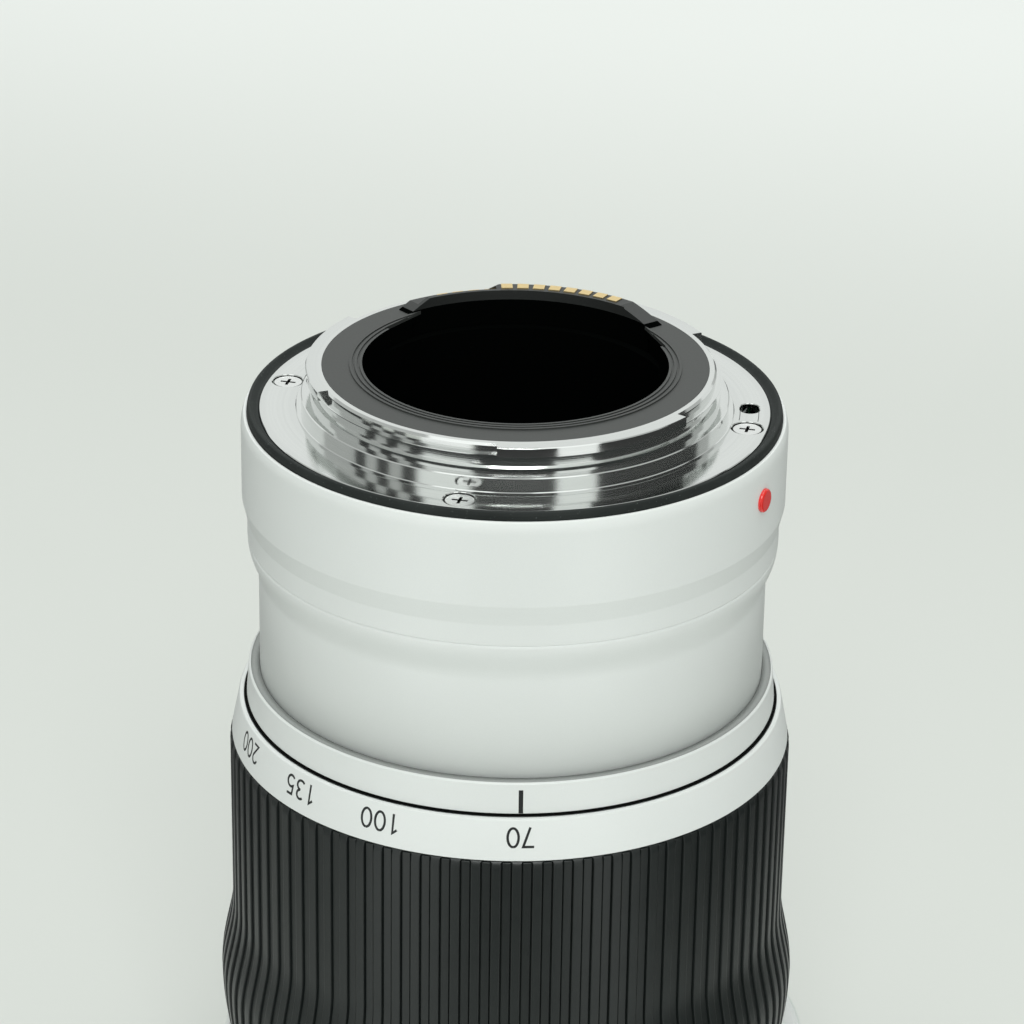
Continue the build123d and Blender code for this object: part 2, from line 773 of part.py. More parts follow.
def helical_slot(travel):
    """Cutter for one cam slot with square ends, from its low end up to the follower's rest place."""
    low_z = extension_follower_z - travel
    middle_radius = (cam_bore + cam_radius) / 2
    with BuildPart() as cutter:
        with BuildLine() as route:
            Helix(travel * 360 / zoom_turn_angle, travel, middle_radius, center=(0, 0, low_z))
        with BuildSketch(Plane(origin=route.line @ 0, x_dir=(1, 0, 0), z_dir=route.line % 0)):
            Rectangle(cam_wall + 2 * overrun, slot_width)
        sweep(path=route.line, is_frenet=True)
    return cutter.part


# Cam tube: turns with the zoom ring. Three steep slots drive the extension, three flat ones the variator
short_slot_angle = follower_first_angle + follower_step / 2
with BuildPart() as cam_tube:
    tube(cam_bore, cam_radius, seat_front_z + rim_gap, cam_rear_z)
    for travel, first_angle in ((extension_travel, follower_first_angle), (variator_travel, short_slot_angle)):
        slot_cutter = helical_slot(travel)
        for number in range(follower_count):
            rest_angle = first_angle + number * follower_step
            add(slot_cutter.rotate(Axis.Z, around(rest_angle) - zoom_turn_angle), mode=Mode.SUBTRACT)
            for end_angle, end_z in (
                (rest_angle - zoom_turn_angle, extension_follower_z - travel),
                (rest_angle, extension_follower_z),
            ):
                with BuildSketch(wall_plane(end_angle, cam_bore - overrun, end_z)):
                    Circle(slot_width / 2)
                extrude(amount=cam_wall + 2 * overrun, mode=Mode.SUBTRACT)
    with BuildSketch(wall_plane(key_angle, cam_bore - overrun, key_z)):
        Rectangle(key_width + 2 * seat_fit, key_height + 2 * seat_fit)
    extrude(amount=cam_wall + 2 * overrun, mode=Mode.SUBTRACT)
cam_tube.part.label = "cam_tube"
export_step(cam_tube.part, "parts/cam_tube.step")

# Zoom ring: painted metal, with the focal length scale on its flared rear part
with BuildPart() as zoom_ring:
    turned(
        (zoom_ring_bore, zoom_grip_z),
        (zoom_ring_radius, zoom_grip_z),
        (zoom_ring_radius, scale_z),
        (scale_front_radius, scale_z),
        (scale_rear_radius, zoom_rear_z - scale_edge_radius),
        (scale_rear_radius - scale_edge_radius, zoom_rear_z),
        (zoom_ring_bore, zoom_rear_z),
    )
    with BuildSketch(wall_plane(key_angle, zoom_ring_bore - overrun, key_z)):
        Rectangle(key_width + 2 * seat_fit, key_height + 2 * seat_fit)
    extrude(amount=zoom_ring_wall + overrun, mode=Mode.SUBTRACT)
zoom_ring.part.label = "zoom_ring"
export_step(zoom_ring.part, "parts/zoom_ring.step")

# Zoom key: joins the zoom ring to the cam tube through the window in the main barrel
with BuildPart() as zoom_key:
    with BuildSketch(wall_plane(key_angle, cam_bore + seat_fit, key_z)):
        Rectangle(key_width, key_height)
    extrude(amount=zoom_ring_radius - zoom_ring_wall / 2 - cam_bore)
zoom_key.part.label = "zoom_key"
export_step(zoom_key.part, "parts/zoom_key.step")

# Zoom grip: a rubber sleeve with straight ribs and a swell near its front end
swell_z = zoom_grip_z + zoom_grip_swell_height
swell_start_z = zoom_grip_z + zoom_grip_swell_start
grip_end_radius = (grip_end_drop**2 + grip_end_length**2) / (2 * grip_end_drop)


def grip_section(inset, wall_radius):
    """Half section between the grip's outer line, moved in by the inset, and a straight wall."""
    with BuildSketch(Plane.XZ) as section:
        with BuildLine():
            RadiusArc(
                (zoom_grip_radius - grip_end_drop - inset, scale_z),
                (zoom_grip_radius - inset, scale_z - grip_end_length),
                grip_end_radius,
            )
            Line((zoom_grip_radius - inset, scale_z - grip_end_length), (zoom_grip_radius - inset, swell_start_z))
            Spline(
                (zoom_grip_radius - inset, swell_start_z),
                (zoom_grip_swell_radius - inset, swell_z),
                (zoom_grip_front_radius - inset, zoom_grip_z),
                tangents=((0, -1), (grip_front_slope, -1)),
            )
            Polyline(
                (zoom_grip_front_radius - inset, zoom_grip_z),
                (wall_radius, zoom_grip_z),
                (wall_radius, scale_z),
                (zoom_grip_radius - grip_end_drop - inset, scale_z),
            )
        make_face()
    return section.sketch


with BuildPart() as groove_space:
    revolve(grip_section(grip_rib_height, zoom_grip_swell_radius + overrun), axis=Axis.Z)
    with BuildSketch(Plane.XY.offset(zoom_grip_z)):
        with PolarLocations(zoom_grip_radius, grip_rib_count, around(grip_groove_angle)):
            Rectangle(zoom_grip_swell_radius / 3, grip_groove_width)
    extrude(amount=zoom_grip_length - grip_end_rim, mode=Mode.INTERSECT)

with BuildPart() as zoom_grip:
    revolve(grip_section(0, zoom_ring_radius + seat_fit), axis=Axis.Z)
    add(groove_space.part, mode=Mode.SUBTRACT)
zoom_grip.part.label = "zoom_grip"
export_step(zoom_grip.part, "parts/zoom_grip.step")

# Extension tube: slides out of the main barrel and carries the front group
with BuildPart() as extension_tube:
    tube(extension_bore, extension_radius, rim_rear_z, extension_rear_z)
    for number in range(follower_count):
        pin_angle = follower_first_angle + number * follower_step
        with BuildSketch(wall_plane(pin_angle, extension_bore - overrun, extension_follower_z)):
            Circle(follower_head_radius + seat_fit)
        extrude(amount=extension_wall + 2 * overrun, mode=Mode.SUBTRACT)
extension_tube.part.label = "extension_tube"
export_step(extension_tube.part, "parts/extension_tube.step")

# Extension followers: headed pins that run in the cam slots and the guide slots
with BuildPart() as extension_followers:
    for number in range(follower_count):
        pin_angle = follower_first_angle + number * follower_step
        with BuildSketch(wall_plane(pin_angle, guide_bore + follower_reach, extension_follower_z)):
            Circle(follower_radius)
        extrude(amount=extension_radius - guide_bore - 2 * follower_reach)
        head_start = extension_radius - follower_reach - follower_head_depth
        with BuildSketch(wall_plane(pin_angle, head_start, extension_follower_z)):
            Circle(follower_head_radius)
        extrude(amount=follower_head_depth)
extension_followers.part.label = "extension_followers"
export_step(extension_followers.part, "parts/extension_followers.step")

# Front rim: filter thread inside, hood bayonet lugs outside, screwed to the extension tube
cell_radius = guide_bore - front_cell_radius_gap
cell_flange_radius = filter_thread_radius - slide_fit
cell_front_z = filter_thread_depth + front_cell_setback
cell_seat_z = filter_thread_depth + thread_relief_length
with BuildPart() as front_rim:
    turned(
        (filter_thread_radius + rim_edge_chamfer, 0),
        (front_rim_radius - rim_edge_chamfer, 0),
        (front_rim_radius, rim_edge_chamfer),
        (front_rim_radius, rim_rear_z),
        (cell_radius + seat_fit, rim_rear_z),
        (cell_radius + seat_fit, cell_seat_z),
        (filter_thread_radius + thread_relief, cell_seat_z),
        (filter_thread_radius + thread_relief, filter_thread_depth),
        (filter_thread_radius, filter_thread_depth),
        (filter_thread_radius, rim_edge_chamfer),
    )
    with BuildSketch(Plane.XY.offset(rim_rear_z - hood_lug_inset - hood_lug_thickness)):
        for lug in range(hood_lug_count):
            lug_angle = lug * 360 / hood_lug_count
            ring_sector(front_rim_radius - overrun, hood_lug_radius, lug_angle, hood_lug_span)
    extrude(amount=hood_lug_thickness)
front_rim.part.label = "front_rim"
export_step(front_rim.part, "parts/front_rim.step")

# Front lens cell: a black ring with a conical face round the front glass
cell_rear_z = cell_front_z + front_cell_length
front_glass_radius = cell_radius - front_cell_wall
with BuildPart() as front_lens_cell:
    turned(
        (front_glass_radius + seat_fit, cell_front_z + front_glass_bulge),
        (cell_radius, cell_front_z),
        (cell_flange_radius, cell_front_z),
        (cell_flange_radius, cell_seat_z),
        (cell_radius, cell_seat_z),
        (cell_radius, cell_rear_z),
        (front_glass_radius + seat_fit, cell_rear_z),
    )
front_lens_cell.part.label = "front_lens_cell"
export_step(front_lens_cell.part, "parts/front_lens_cell.step")

# Front glass and the element cemented to its back
glass_front_z = cell_front_z + front_glass_bulge + front_glass_setback
glass_middle_z = glass_front_z + front_glass_thickness
glass_rear_z = glass_middle_z + doublet_glass_thickness
with BuildPart() as front_glass:
    lens_element(
        front_glass_radius, glass_front_z, glass_middle_z, front_glass_bulge, -doublet_joint_bulge
    )
front_glass.part.label = "front_glass"
export_step(front_glass.part, "parts/front_glass.step")

with BuildPart() as doublet_glass:
    lens_element(
        front_glass_radius, glass_middle_z, glass_rear_z, doublet_joint_bulge, doublet_rear_bulge
    )
doublet_glass.part.label = "doublet_glass"
export_step(doublet_glass.part, "parts/doublet_glass.step")

# Front lock ring: threaded ring that holds the two front elements in the cell
with BuildPart() as front_lock_ring:
    lock_ring_bore = front_glass_radius - lock_ring_width
    tube(lock_ring_bore, front_glass_radius, glass_rear_z, glass_rear_z + lock_ring_thickness)
front_lock_ring.part.label = "front_lock_ring"
export_step(front_lock_ring.part, "parts/front_lock_ring.step")

# Variator cell: the inner zoom group, with three pins that run in the short cam slots
variator_z = variator_rear_z - variator_length
variator_glass_rear_z = variator_rear_z - variator_pin_depth
with BuildPart() as variator_cell:
    turned(
        (variator_glass_radius - rear_lens_lip, variator_z),
        (cell_radius, variator_z),
        (cell_radius, variator_rear_z),
        (variator_glass_radius + seat_fit, variator_rear_z),
        (variator_glass_radius + seat_fit, variator_glass_rear_z - variator_glass_thickness),
        (variator_glass_radius - rear_lens_lip, variator_glass_rear_z - variator_glass_thickness),
    )
    for number in range(follower_count):
        pin_angle = follower_first_angle + (number + 0.5) * follower_step
        with BuildSketch(wall_plane(pin_angle, cell_radius - variator_pin_depth, extension_follower_z)):
            Circle(follower_radius + seat_fit)
        extrude(amount=variator_pin_depth + overrun, mode=Mode.SUBTRACT)
variator_cell.part.label = "variator_cell"
export_step(variator_cell.part, "parts/variator_cell.step")

with BuildPart() as variator_followers:
    for number in range(follower_count):
        pin_angle = follower_first_angle + (number + 0.5) * follower_step
        with BuildSketch(wall_plane(pin_angle, cell_radius - variator_pin_depth, extension_follower_z)):
            Circle(follower_radius)
        extrude(amount=cam_radius - follower_reach - cell_radius + variator_pin_depth)
variator_followers.part.label = "variator_followers"
export_step(variator_followers.part, "parts/variator_followers.step")

with BuildPart() as variator_glass:
    lens_element(
        variator_glass_radius,
        variator_glass_rear_z - variator_glass_thickness,
        variator_glass_rear_z,
        -variator_glass_bulge,
        -variator_glass_bulge / 2,
    )
variator_glass.part.label = "variator_glass"
export_step(variator_glass.part, "parts/variator_glass.step")

# Iris housing: fixed in the guide tube, open towards the rear where the blades lie
with BuildPart() as iris_housing:
    turned(
        (iris_opening_radius, iris_z),
        (guide_bore - seat_fit, iris_z),
        (guide_bore - seat_fit, iris_rear_z),
        (iris_pocket_radius, iris_rear_z),
        (iris_pocket_radius, iris_z + iris_floor),
        (iris_opening_radius, iris_z + iris_floor),
    )
iris_housing.part.label = "iris_housing"
export_step(iris_housing.part, "parts/iris_housing.step")

with BuildPart() as iris_blades:
    for blade in range(iris_blade_count):
        blade_z = iris_z + iris_floor + blade * iris_blade_pitch
        with BuildSketch(Plane.XY.offset(blade_z)):
            ring_sector(
                iris_blade_inner_radius,
                iris_blade_outer_radius,
                blade * 360 / iris_blade_count,
                iris_blade_span,
            )
        extrude(amount=iris_blade_thickness)
iris_blades.part.label = "iris_blades"
export_step(iris_blades.part, "parts/iris_blades.step")

# Iris cover: closes the blade pocket and takes the front ends of the focus rods
cover_plate_z = iris_z + iris_floor + iris_blade_count * iris_blade_pitch
with BuildPart() as iris_cover:
    tube(iris_opening_radius, iris_pocket_radius - seat_fit, cover_plate_z, iris_rear_z)
    with BuildSketch(Plane.XY.offset(iris_rear_z)):
        with PolarLocations(rod_circle_radius, len(rod_angles), around(rod_first_angle)):
            Circle(rod_radius + seat_fit)
    extrude(amount=-rod_seat_depth, mode=Mode.SUBTRACT)
iris_cover.part.label = "iris_cover"
export_step(iris_cover.part, "parts/iris_cover.step")

# Focus rods: two ground steel rods between the iris cover and the rear lens cell
with BuildPart() as focus_rods:
    with BuildSketch(Plane.XY.offset(iris_rear_z - rod_seat_depth)):
        with PolarLocations(rod_circle_radius, len(rod_angles), around(rod_first_angle)):
            Circle(rod_radius)
    extrude(amount=rear_cell_z - iris_rear_z + 2 * rod_seat_depth)
focus_rods.part.label = "focus_rods"
export_step(focus_rods.part, "parts/focus_rods.step")

# Focus motor: the linear motor beside the focus group
with BuildPart() as focus_motor:
    motor_length = rear_cell_z - iris_rear_z
    with BuildSketch(wall_plane(motor_angle, motor_inner_radius, iris_rear_z + motor_length / 2)):
        Rectangle(motor_width, motor_length)
    extrude(amount=motor_depth)
focus_motor.part.label = "focus_motor"
export_step(focus_motor.part, "parts/focus_motor.step")

# Focus cell: slides on the rods, with a lug round each rod and an arm to the motor
with BuildPart() as focus_cell:
    turned(
        (focus_glass_radius - rear_lens_lip, focus_cell_z),
        (focus_cell_radius, focus_cell_z),
        (focus_cell_radius, focus_cell_z + focus_cell_length),
        (focus_glass_radius + seat_fit, focus_cell_z + focus_cell_length),
        (focus_glass_radius + seat_fit, focus_cell_z + rear_lens_lip),
        (focus_glass_radius - rear_lens_lip, focus_cell_z + rear_lens_lip),
    )
    lug_reach = rod_circle_radius + rod_radius + rear_lens_lip
    focus_middle_z = focus_cell_z + focus_cell_length / 2
    for lug_angle in rod_angles:
        with BuildSketch(wall_plane(lug_angle, focus_cell_radius - overrun, focus_middle_z)):
            Rectangle(rod_lug_width, focus_cell_length)
        extrude(amount=lug_reach - focus_cell_radius + overrun)
    with BuildSketch(wall_plane(motor_angle, focus_cell_radius - overrun, focus_middle_z)):
        Rectangle(motor_arm_width, focus_cell_length)
    extrude(amount=motor_inner_radius - running_gap - focus_cell_radius + overrun)
    with BuildSketch(Plane.XY.offset(focus_cell_z)):
        with PolarLocations(rod_circle_radius, len(rod_angles), around(rod_first_angle)):
            Circle(rod_radius + slide_fit)
    extrude(amount=focus_cell_length, mode=Mode.SUBTRACT)
focus_cell.part.label = "focus_cell"
export_step(focus_cell.part, "parts/focus_cell.step")

with BuildPart() as focus_glass:
    lens_element(
        focus_glass_radius,
        focus_cell_z + rear_lens_lip,
        focus_cell_z + rear_lens_lip + focus_glass_thickness,
        -focus_glass_bulge,
        focus_glass_bulge,
    )
focus_glass.part.label = "focus_glass"
export_step(focus_glass.part, "parts/focus_glass.step")

# Ring seat: the fixed sleeve that the focus ring and the control ring turn on
seat_radius = main_radius + seat_fit + ring_seat_wall
with BuildPart() as ring_seat:
    tube(main_radius + seat_fit, seat_radius, seat_front_z, switch_section_z)
ring_seat.part.label = "ring_seat"
export_step(ring_seat.part, "parts/ring_seat.step")

with BuildPart() as front_retainer:
    tube(main_bore, retainer_radius, retainer_z, seat_front_z)
front_retainer.part.label = "front_retainer"
export_step(front_retainer.part, "parts/front_retainer.step")

with BuildPart() as spacer_ring:
    tube(seat_radius + seat_fit, spacer_radius, spacer_z, spacer_z + spacer_thickness)
spacer_ring.part.label = "spacer_ring"
export_step(spacer_ring.part, "parts/spacer_ring.step")

# Control ring: turned metal with a straight knurl
knurl_side = sqrt(2) * control_knurl_depth
with BuildPart() as control_ring:
    tube(seat_radius + slide_fit, control_ring_radius, control_ring_z, control_ring_z + control_ring_length)
    chamfer(control_ring.edges().group_by(SortBy.LENGTH)[-1], rim_edge_chamfer)
    with BuildSketch(Plane.XY.offset(control_ring_z + control_knurl_margin)):
        with PolarLocations(control_ring_radius, control_knurl_count):
            Rectangle(knurl_side, knurl_side, rotation=45)
    extrude(amount=control_ring_length - 2 * control_knurl_margin, mode=Mode.SUBTRACT)
control_ring.part.label = "control_ring"
export_step(control_ring.part, "parts/control_ring.step")

# Focus ring and its ribbed rubber
focus_core_radius = seat_radius + slide_fit + focus_ring_wall
with BuildPart() as focus_ring:
    tube(seat_radius + slide_fit, focus_core_radius, focus_ring_z, focus_ring_z + focus_ring_length)
focus_ring.part.label = "focus_ring"
export_step(focus_ring.part, "parts/focus_ring.step")

with BuildPart() as focus_grip:
    tube(focus_core_radius + seat_fit, focus_grip_radius, focus_ring_z, focus_ring_z + focus_ring_length)
    with BuildSketch(Plane.XY.offset(focus_ring_z)):
        with PolarLocations(focus_grip_radius, focus_rib_count):
            Rectangle(2 * focus_rib_depth, focus_groove_width)
    extrude(amount=focus_ring_length, mode=Mode.SUBTRACT)
focus_grip.part.label = "focus_grip"
export_step(focus_grip.part, "parts/focus_grip.step")

# Switch housing: the white section with a raised pad for the four slide switches
switch_middle_z = switch_section_z + switch_section_length / 2
switch_angles = [switch_middle_angle + (place - 1.5) * switch_pitch_angle for place in range(4)]
slot_floor_radius = switch_bulge_radius + switch_panel_thickness - switch_slot_depth
lock_floor_radius = switch_section_radius - switch_slot_depth
bulge_low_z = switch_section_z + switch_bulge_inset
bulge_length = switch_section_length - 2 * switch_bulge_inset
with BuildPart() as switch_housing:
    turned(
        (main_radius + seat_fit, switch_section_z),
        (switch_section_radius - switch_section_edge, switch_section_z),
        (switch_section_radius, switch_section_z + switch_section_edge),
        (switch_section_radius, switch_rear_z - switch_section_edge),
        (switch_section_radius - switch_section_edge, switch_rear_z),
        (main_radius + seat_fit, switch_rear_z),
    )
    with BuildSketch(Plane.XY.offset(bulge_low_z)):
        ring_sector(
            switch_section_radius - 2 * switch_section_edge,
            switch_bulge_radius,
            switch_middle_angle,
            switch_bulge_span,
        )
    extrude(amount=bulge_length)
    bulge_rims = switch_housing.edges().filter_by(GeomType.CIRCLE)
    bulge_rims = bulge_rims.filter_by(lambda rim: abs(rim.radius - switch_bulge_radius) < seat_fit)
    chamfer(bulge_rims, switch_bulge_chamfer)
    for switch_angle in switch_angles:
        with BuildSketch(wall_plane(switch_angle, slot_floor_radius, switch_middle_z)):
            Rectangle(switch_slot_width, switch_slot_height)
        extrude(amount=switch_slot_depth + overrun, mode=Mode.SUBTRACT)
    with BuildSketch(wall_plane(lock_slider_angle, lock_floor_radius, switch_middle_z)):
        Rectangle(lock_slot_width, switch_slot_height)
    extrude(amount=switch_slot_depth + overrun, mode=Mode.SUBTRACT)
switch_housing.part.label = "switch_housing"
export_step(switch_housing.part, "parts/switch_housing.step")

# Switch panel: a thin curved plate over the pad, open at each switch
panel_low_z = bulge_low_z + switch_panel_inset
panel_length = bulge_length - 2 * switch_panel_inset
with BuildPart() as switch_panel:
    with BuildSketch(Plane.XY.offset(panel_low_z)):
        ring_sector(
            switch_bulge_radius + seat_fit,
            switch_bulge_radius + switch_panel_thickness,
            switch_middle_angle,
            switch_panel_span,
        )
    extrude(amount=panel_length)
    for switch_angle in switch_angles:
        with BuildSketch(wall_plane(switch_angle, slot_floor_radius, switch_middle_z)):
            Rectangle(switch_slot_width, switch_slot_height)
        extrude(amount=switch_slot_depth + overrun, mode=Mode.SUBTRACT)
switch_panel.part.label = "switch_panel"
export_step(switch_panel.part, "parts/switch_panel.step")

# Slide switches: each rests at the front end of its slot
knob_z = switch_middle_z - switch_travel / 2
knob_depth = switch_slot_depth + switch_knob_rise - switch_fit
switch_names = ("focus_limit_switch", "focus_mode_switch", "stabiliser_switch", "stabiliser_mode_switch")
for switch_name, switch_angle in zip(switch_names, switch_angles):
    with BuildPart() as slide_switch:
        with BuildSketch(wall_plane(switch_angle, slot_floor_radius + switch_fit, knob_z)):
            Rectangle(switch_knob_width, switch_knob_height)
        extrude(amount=knob_depth)
        knob_top = slide_switch.faces().sort_by(SortBy.DISTANCE)[-1]
        fillet(knob_top.edges(), radius=switch_knob_rise / 3)
    slide_switch.part.label = switch_name
    export_step(slide_switch.part, f"parts/{switch_name}.step")

# Zoom lock: a wider slider on the other side of the section
with BuildPart() as zoom_lock_slider:
    with BuildSketch(wall_plane(lock_slider_angle, lock_floor_radius + switch_fit, knob_z)):
        Rectangle(lock_slider_width, switch_knob_height)
    extrude(amount=switch_slot_depth + lock_slider_rise - switch_fit)
    lock_top = zoom_lock_slider.faces().sort_by(SortBy.DISTANCE)[-1]
    fillet(lock_top.edges(), radius=lock_slider_rise / 3)
zoom_lock_slider.part.label = "zoom_lock_slider"
export_step(zoom_lock_slider.part, "parts/zoom_lock_slider.step")
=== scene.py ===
from math import cos, hypot, pi, radians, sin

import bmesh
import bpy
from mathutils import Matrix, Vector


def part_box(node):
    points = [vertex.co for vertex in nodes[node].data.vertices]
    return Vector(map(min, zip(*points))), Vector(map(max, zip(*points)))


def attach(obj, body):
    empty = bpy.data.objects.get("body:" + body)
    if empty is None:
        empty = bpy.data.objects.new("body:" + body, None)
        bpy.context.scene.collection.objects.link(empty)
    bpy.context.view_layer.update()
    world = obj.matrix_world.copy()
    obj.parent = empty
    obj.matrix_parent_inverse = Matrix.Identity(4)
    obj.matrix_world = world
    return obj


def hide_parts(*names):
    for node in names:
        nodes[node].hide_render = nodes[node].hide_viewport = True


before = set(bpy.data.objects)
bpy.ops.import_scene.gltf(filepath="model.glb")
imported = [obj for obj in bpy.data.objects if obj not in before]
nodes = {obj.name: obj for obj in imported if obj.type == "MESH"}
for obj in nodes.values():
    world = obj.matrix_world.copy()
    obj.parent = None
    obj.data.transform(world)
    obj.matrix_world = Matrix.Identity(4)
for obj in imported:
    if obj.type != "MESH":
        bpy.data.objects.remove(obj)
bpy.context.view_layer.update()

# Camera: above and in front of the index mark and a little to its left, on a long lens.
# Its place, tilt and roll were fitted to the round edges of the lens in the photograph.
mm = 0.001
camera_height_angle = radians(24.797)
camera_side_angle = radians(-2.5)
camera_roll = radians(0.9015)
camera_distance = 504.52 * mm
camera_sideways = -0.16 * mm
aim_height = 103.7 * mm
picture_size = 1024
focal_length_in_pixels = 3871
camera = bpy.data.objects.new("camera", bpy.data.cameras.new("camera"))
bpy.context.scene.collection.objects.link(camera)
camera.data.sensor_width = 36.0
camera.data.lens = camera.data.sensor_width * focal_length_in_pixels / picture_size
camera.data.clip_start = 0.05
camera.data.clip_end = 60
camera_place = Vector((
    camera_sideways,
    -camera_distance * cos(camera_height_angle),
    camera_distance * sin(camera_height_angle) + aim_height,
))
camera.matrix_world = (
    Matrix.Rotation(camera_side_angle, 4, "Z")
    @ Matrix.Translation(camera_place)
    @ Matrix.Rotation(pi / 2 - camera_height_angle, 4, "X")
    @ Matrix.Rotation(camera_roll, 4, "Z")
)
bpy.context.scene.camera = camera


# Studio: a pale seamless table that runs far back, plain soft light from above and in front,
# and cards round the lens, dark and bright, that only the reflections in its metal see.
class Shade:
    """One socket of a material's nodes. Sums and products of values add Math nodes."""

    def __init__(self, tree, socket=None):
        self.tree = tree
        self.socket = socket

    def node(self, kind, sockets=None, output=0, stops=None, **settings):
        """Add a node: settings first, then the value or link of each socket. Gives one output."""
        made = self.tree.nodes.new("ShaderNode" + kind)
        for name, value in settings.items():
            setattr(made, name, value)
        if stops:
            ramp = made.color_ramp.elements
            for (place, colour), stop in zip(stops, [ramp[0], ramp[1]] + [None] * len(stops)):
                stop = stop or ramp.new(place)
                stop.position = place
                stop.color = (*colour, 1) if len(colour) == 3 else colour
        for name, value in (sockets or {}).items():
            socket = made.inputs[name]
            if isinstance(value, Shade):
                self.tree.links.new(value.socket, socket)
            else:
                socket.default_value = value
        return Shade(self.tree, made.outputs[output] if made.outputs else None)

    def maths(self, operation, *values):
        return self.node("Math", dict(enumerate(values)), operation=operation)

    def __add__(self, other):
        return self.maths("ADD", self, other)

    __radd__ = __add__

    def __sub__(self, other):
        return self.maths("SUBTRACT", self, other)

    def __rsub__(self, other):
        return self.maths("SUBTRACT", other, self)

    def __mul__(self, other):
        return self.maths("MULTIPLY", self, other)

    __rmul__ = __mul__


def begin_finish(name):
    """A new material with no nodes yet, and a Shade to add them with."""
    material = bpy.data.materials.new(name)
    material.use_nodes = True
    material.node_tree.nodes.clear()
    return material, Shade(material.node_tree)


def end_finish(shade, **sockets):
    """Close a material with one Principled surface; socket names have _ for spaces."""
    named = {name.replace("_", " "): value for name, value in sockets.items()}
    surface = shade.node("BsdfPrincipled", named)
    shade.node("OutputMaterial", {"Surface": surface})


def grain(shade, place, scale, detail=2.0):
    """Noise from 0 to 1 at a number of cells per metre."""
    return shade.node("TexNoise", {"Vector": place, "Scale": scale, "Detail": detail}, output="Fac")


def tone(shade, mask, low, high):
    """Colour that runs from low to high with the mask."""
    return shade.node("ValToRGB", {"Fac": mask}, stops=((0.0, low), (1.0, high)))


def bumped(shade, height, depth, strength=1.0):
    """Normal from a height of 0 to 1 that stands for the depth in metres."""
    return shade.node("Bump", {"Height": height, "Distance": depth, "Strength": strength})


def object_place(shade):
    """Object coordinates in metres, the same frame for every piece."""
    return shade.node("TexCoord", output="Object")


floor_half_size = 14.0
floor_shaded_front_colour = (0.594, 0.613, 0.585)
floor_lit_back_colour = (0.80, 0.82, 0.80)
back_lean = 0.27
back_start = 0.27
back_end = 0.62
floor_mesh = bpy.data.meshes.new("table_top")
floor_corners = [
    (side_x * floor_half_size, side_y * floor_half_size, 0)
    for side_x, side_y in ((-1, -1), (1, -1), (1, 1), (-1, 1))
]
floor_mesh.from_pydata(floor_corners, [], [(0, 1, 2, 3)])
floor = bpy.data.objects.new("table_top", floor_mesh)
bpy.context.scene.collection.objects.link(floor)
table_paper, shade = begin_finish("table_paper")
place = object_place(shade)
x, y = (shade.node("SeparateXYZ", {"Vector": place}, output=axis) for axis in "XY")
# The table's colour runs from darker in front to lighter at the back and the right: painted light,
# for the brighter light that falls on the far table.
painted_light_share = shade.node(
    "MapRange",
    {"Value": y + back_lean * x, "From Min": back_start, "From Max": back_end},
    interpolation_type="SMOOTHSTEP",
)
end_finish(
    shade,
    Base_Color=tone(shade, painted_light_share, floor_shaded_front_colour, floor_lit_back_colour),
    Roughness=0.9,
    Specular_IOR_Level=0.1,
    Normal=bumped(shade, grain(shade, place, 900.0), 0.02 * mm),
)
floor_mesh.materials.append(table_paper)


card_steps = 8


def reflection_card(name, sectors, low, high, level):
    """Cards that only mirror reflections see, in sectors round the lens, each from one angle to
    another. Low and high are (radius, height) of their edges; the level is how bright they look."""
    points, faces = [], []
    for start, end in sectors:
        for step in range(card_steps + 1):
            turn = radians(start + (end - start) * step / card_steps - 90)
            for reach, height in (low, high):
                points.append((reach * cos(turn), reach * sin(turn), height))
            if step:
                last = len(points) - 1
                faces.append((last - 3, last - 2, last, last - 1))
    mesh = bpy.data.meshes.new(name)
    mesh.from_pydata(points, [], faces)
    card = bpy.data.objects.new(name, mesh)
    bpy.context.scene.collection.objects.link(card)
    material, shade = begin_finish(name)
    glow = shade.node("Emission", {"Color": (0.97, 1.0, 0.98, 1), "Strength": level})
    shade.node("OutputMaterial", {"Surface": glow})
    mesh.materials.append(material)
    card.visible_camera = False
    card.visible_diffuse = False
    card.visible_transmission = False
    card.visible_shadow = False


table_near = (0.12, 0.001)
table_split = (0.288, 0.001)
table_far = (1.5, 0.001)
wall_foot = (1.5, 0.0)
wall_sill = (1.5, 0.25)
wall_top = (1.5, 1.1)
box_front = (1.0, 0.95)
box_back = (0.4, 1.5)
dark_sectors = [(-24, 20), (42, 112)]
bright_sectors = [(-54, -26), (20, 42)]
near_checks = [(-64, -56), (-80, -72), (-96, -88)]
far_checks = [(-72, -64), (-88, -80), (-104, -96)]
reflection_card("dark_table", dark_sectors, table_near, table_far, 0.05)
reflection_card("bright_table", bright_sectors, table_near, table_far, 1.1)
reflection_card("near_checks", near_checks, table_near, table_split, 0.08)
reflection_card("far_checks", far_checks, table_split, table_far, 0.08)
reflection_card("grey_table", [(112, 160), (-160, -104)], table_near, table_far, 0.22)
reflection_card("dark_uprights", dark_sectors + near_checks, wall_foot, wall_top, 0.06)
reflection_card("bright_uprights", bright_sectors, wall_foot, wall_top, 1.1)
reflection_card("back_upright", [(125, 235)], wall_sill, wall_top, 0.92)
reflection_card("high_boxes", [(-62, -18), (14, 54)], box_front, box_back, 1.3)

bpy.context.scene.view_settings.view_transform = "Standard"
world = bpy.data.worlds.new("room")
bpy.context.scene.world = world
world.use_nodes = True
world.node_tree.nodes["Background"].inputs["Color"].default_value = (0.93, 0.96, 0.935, 1)
world.node_tree.nodes["Background"].inputs["Strength"].default_value = 0.585


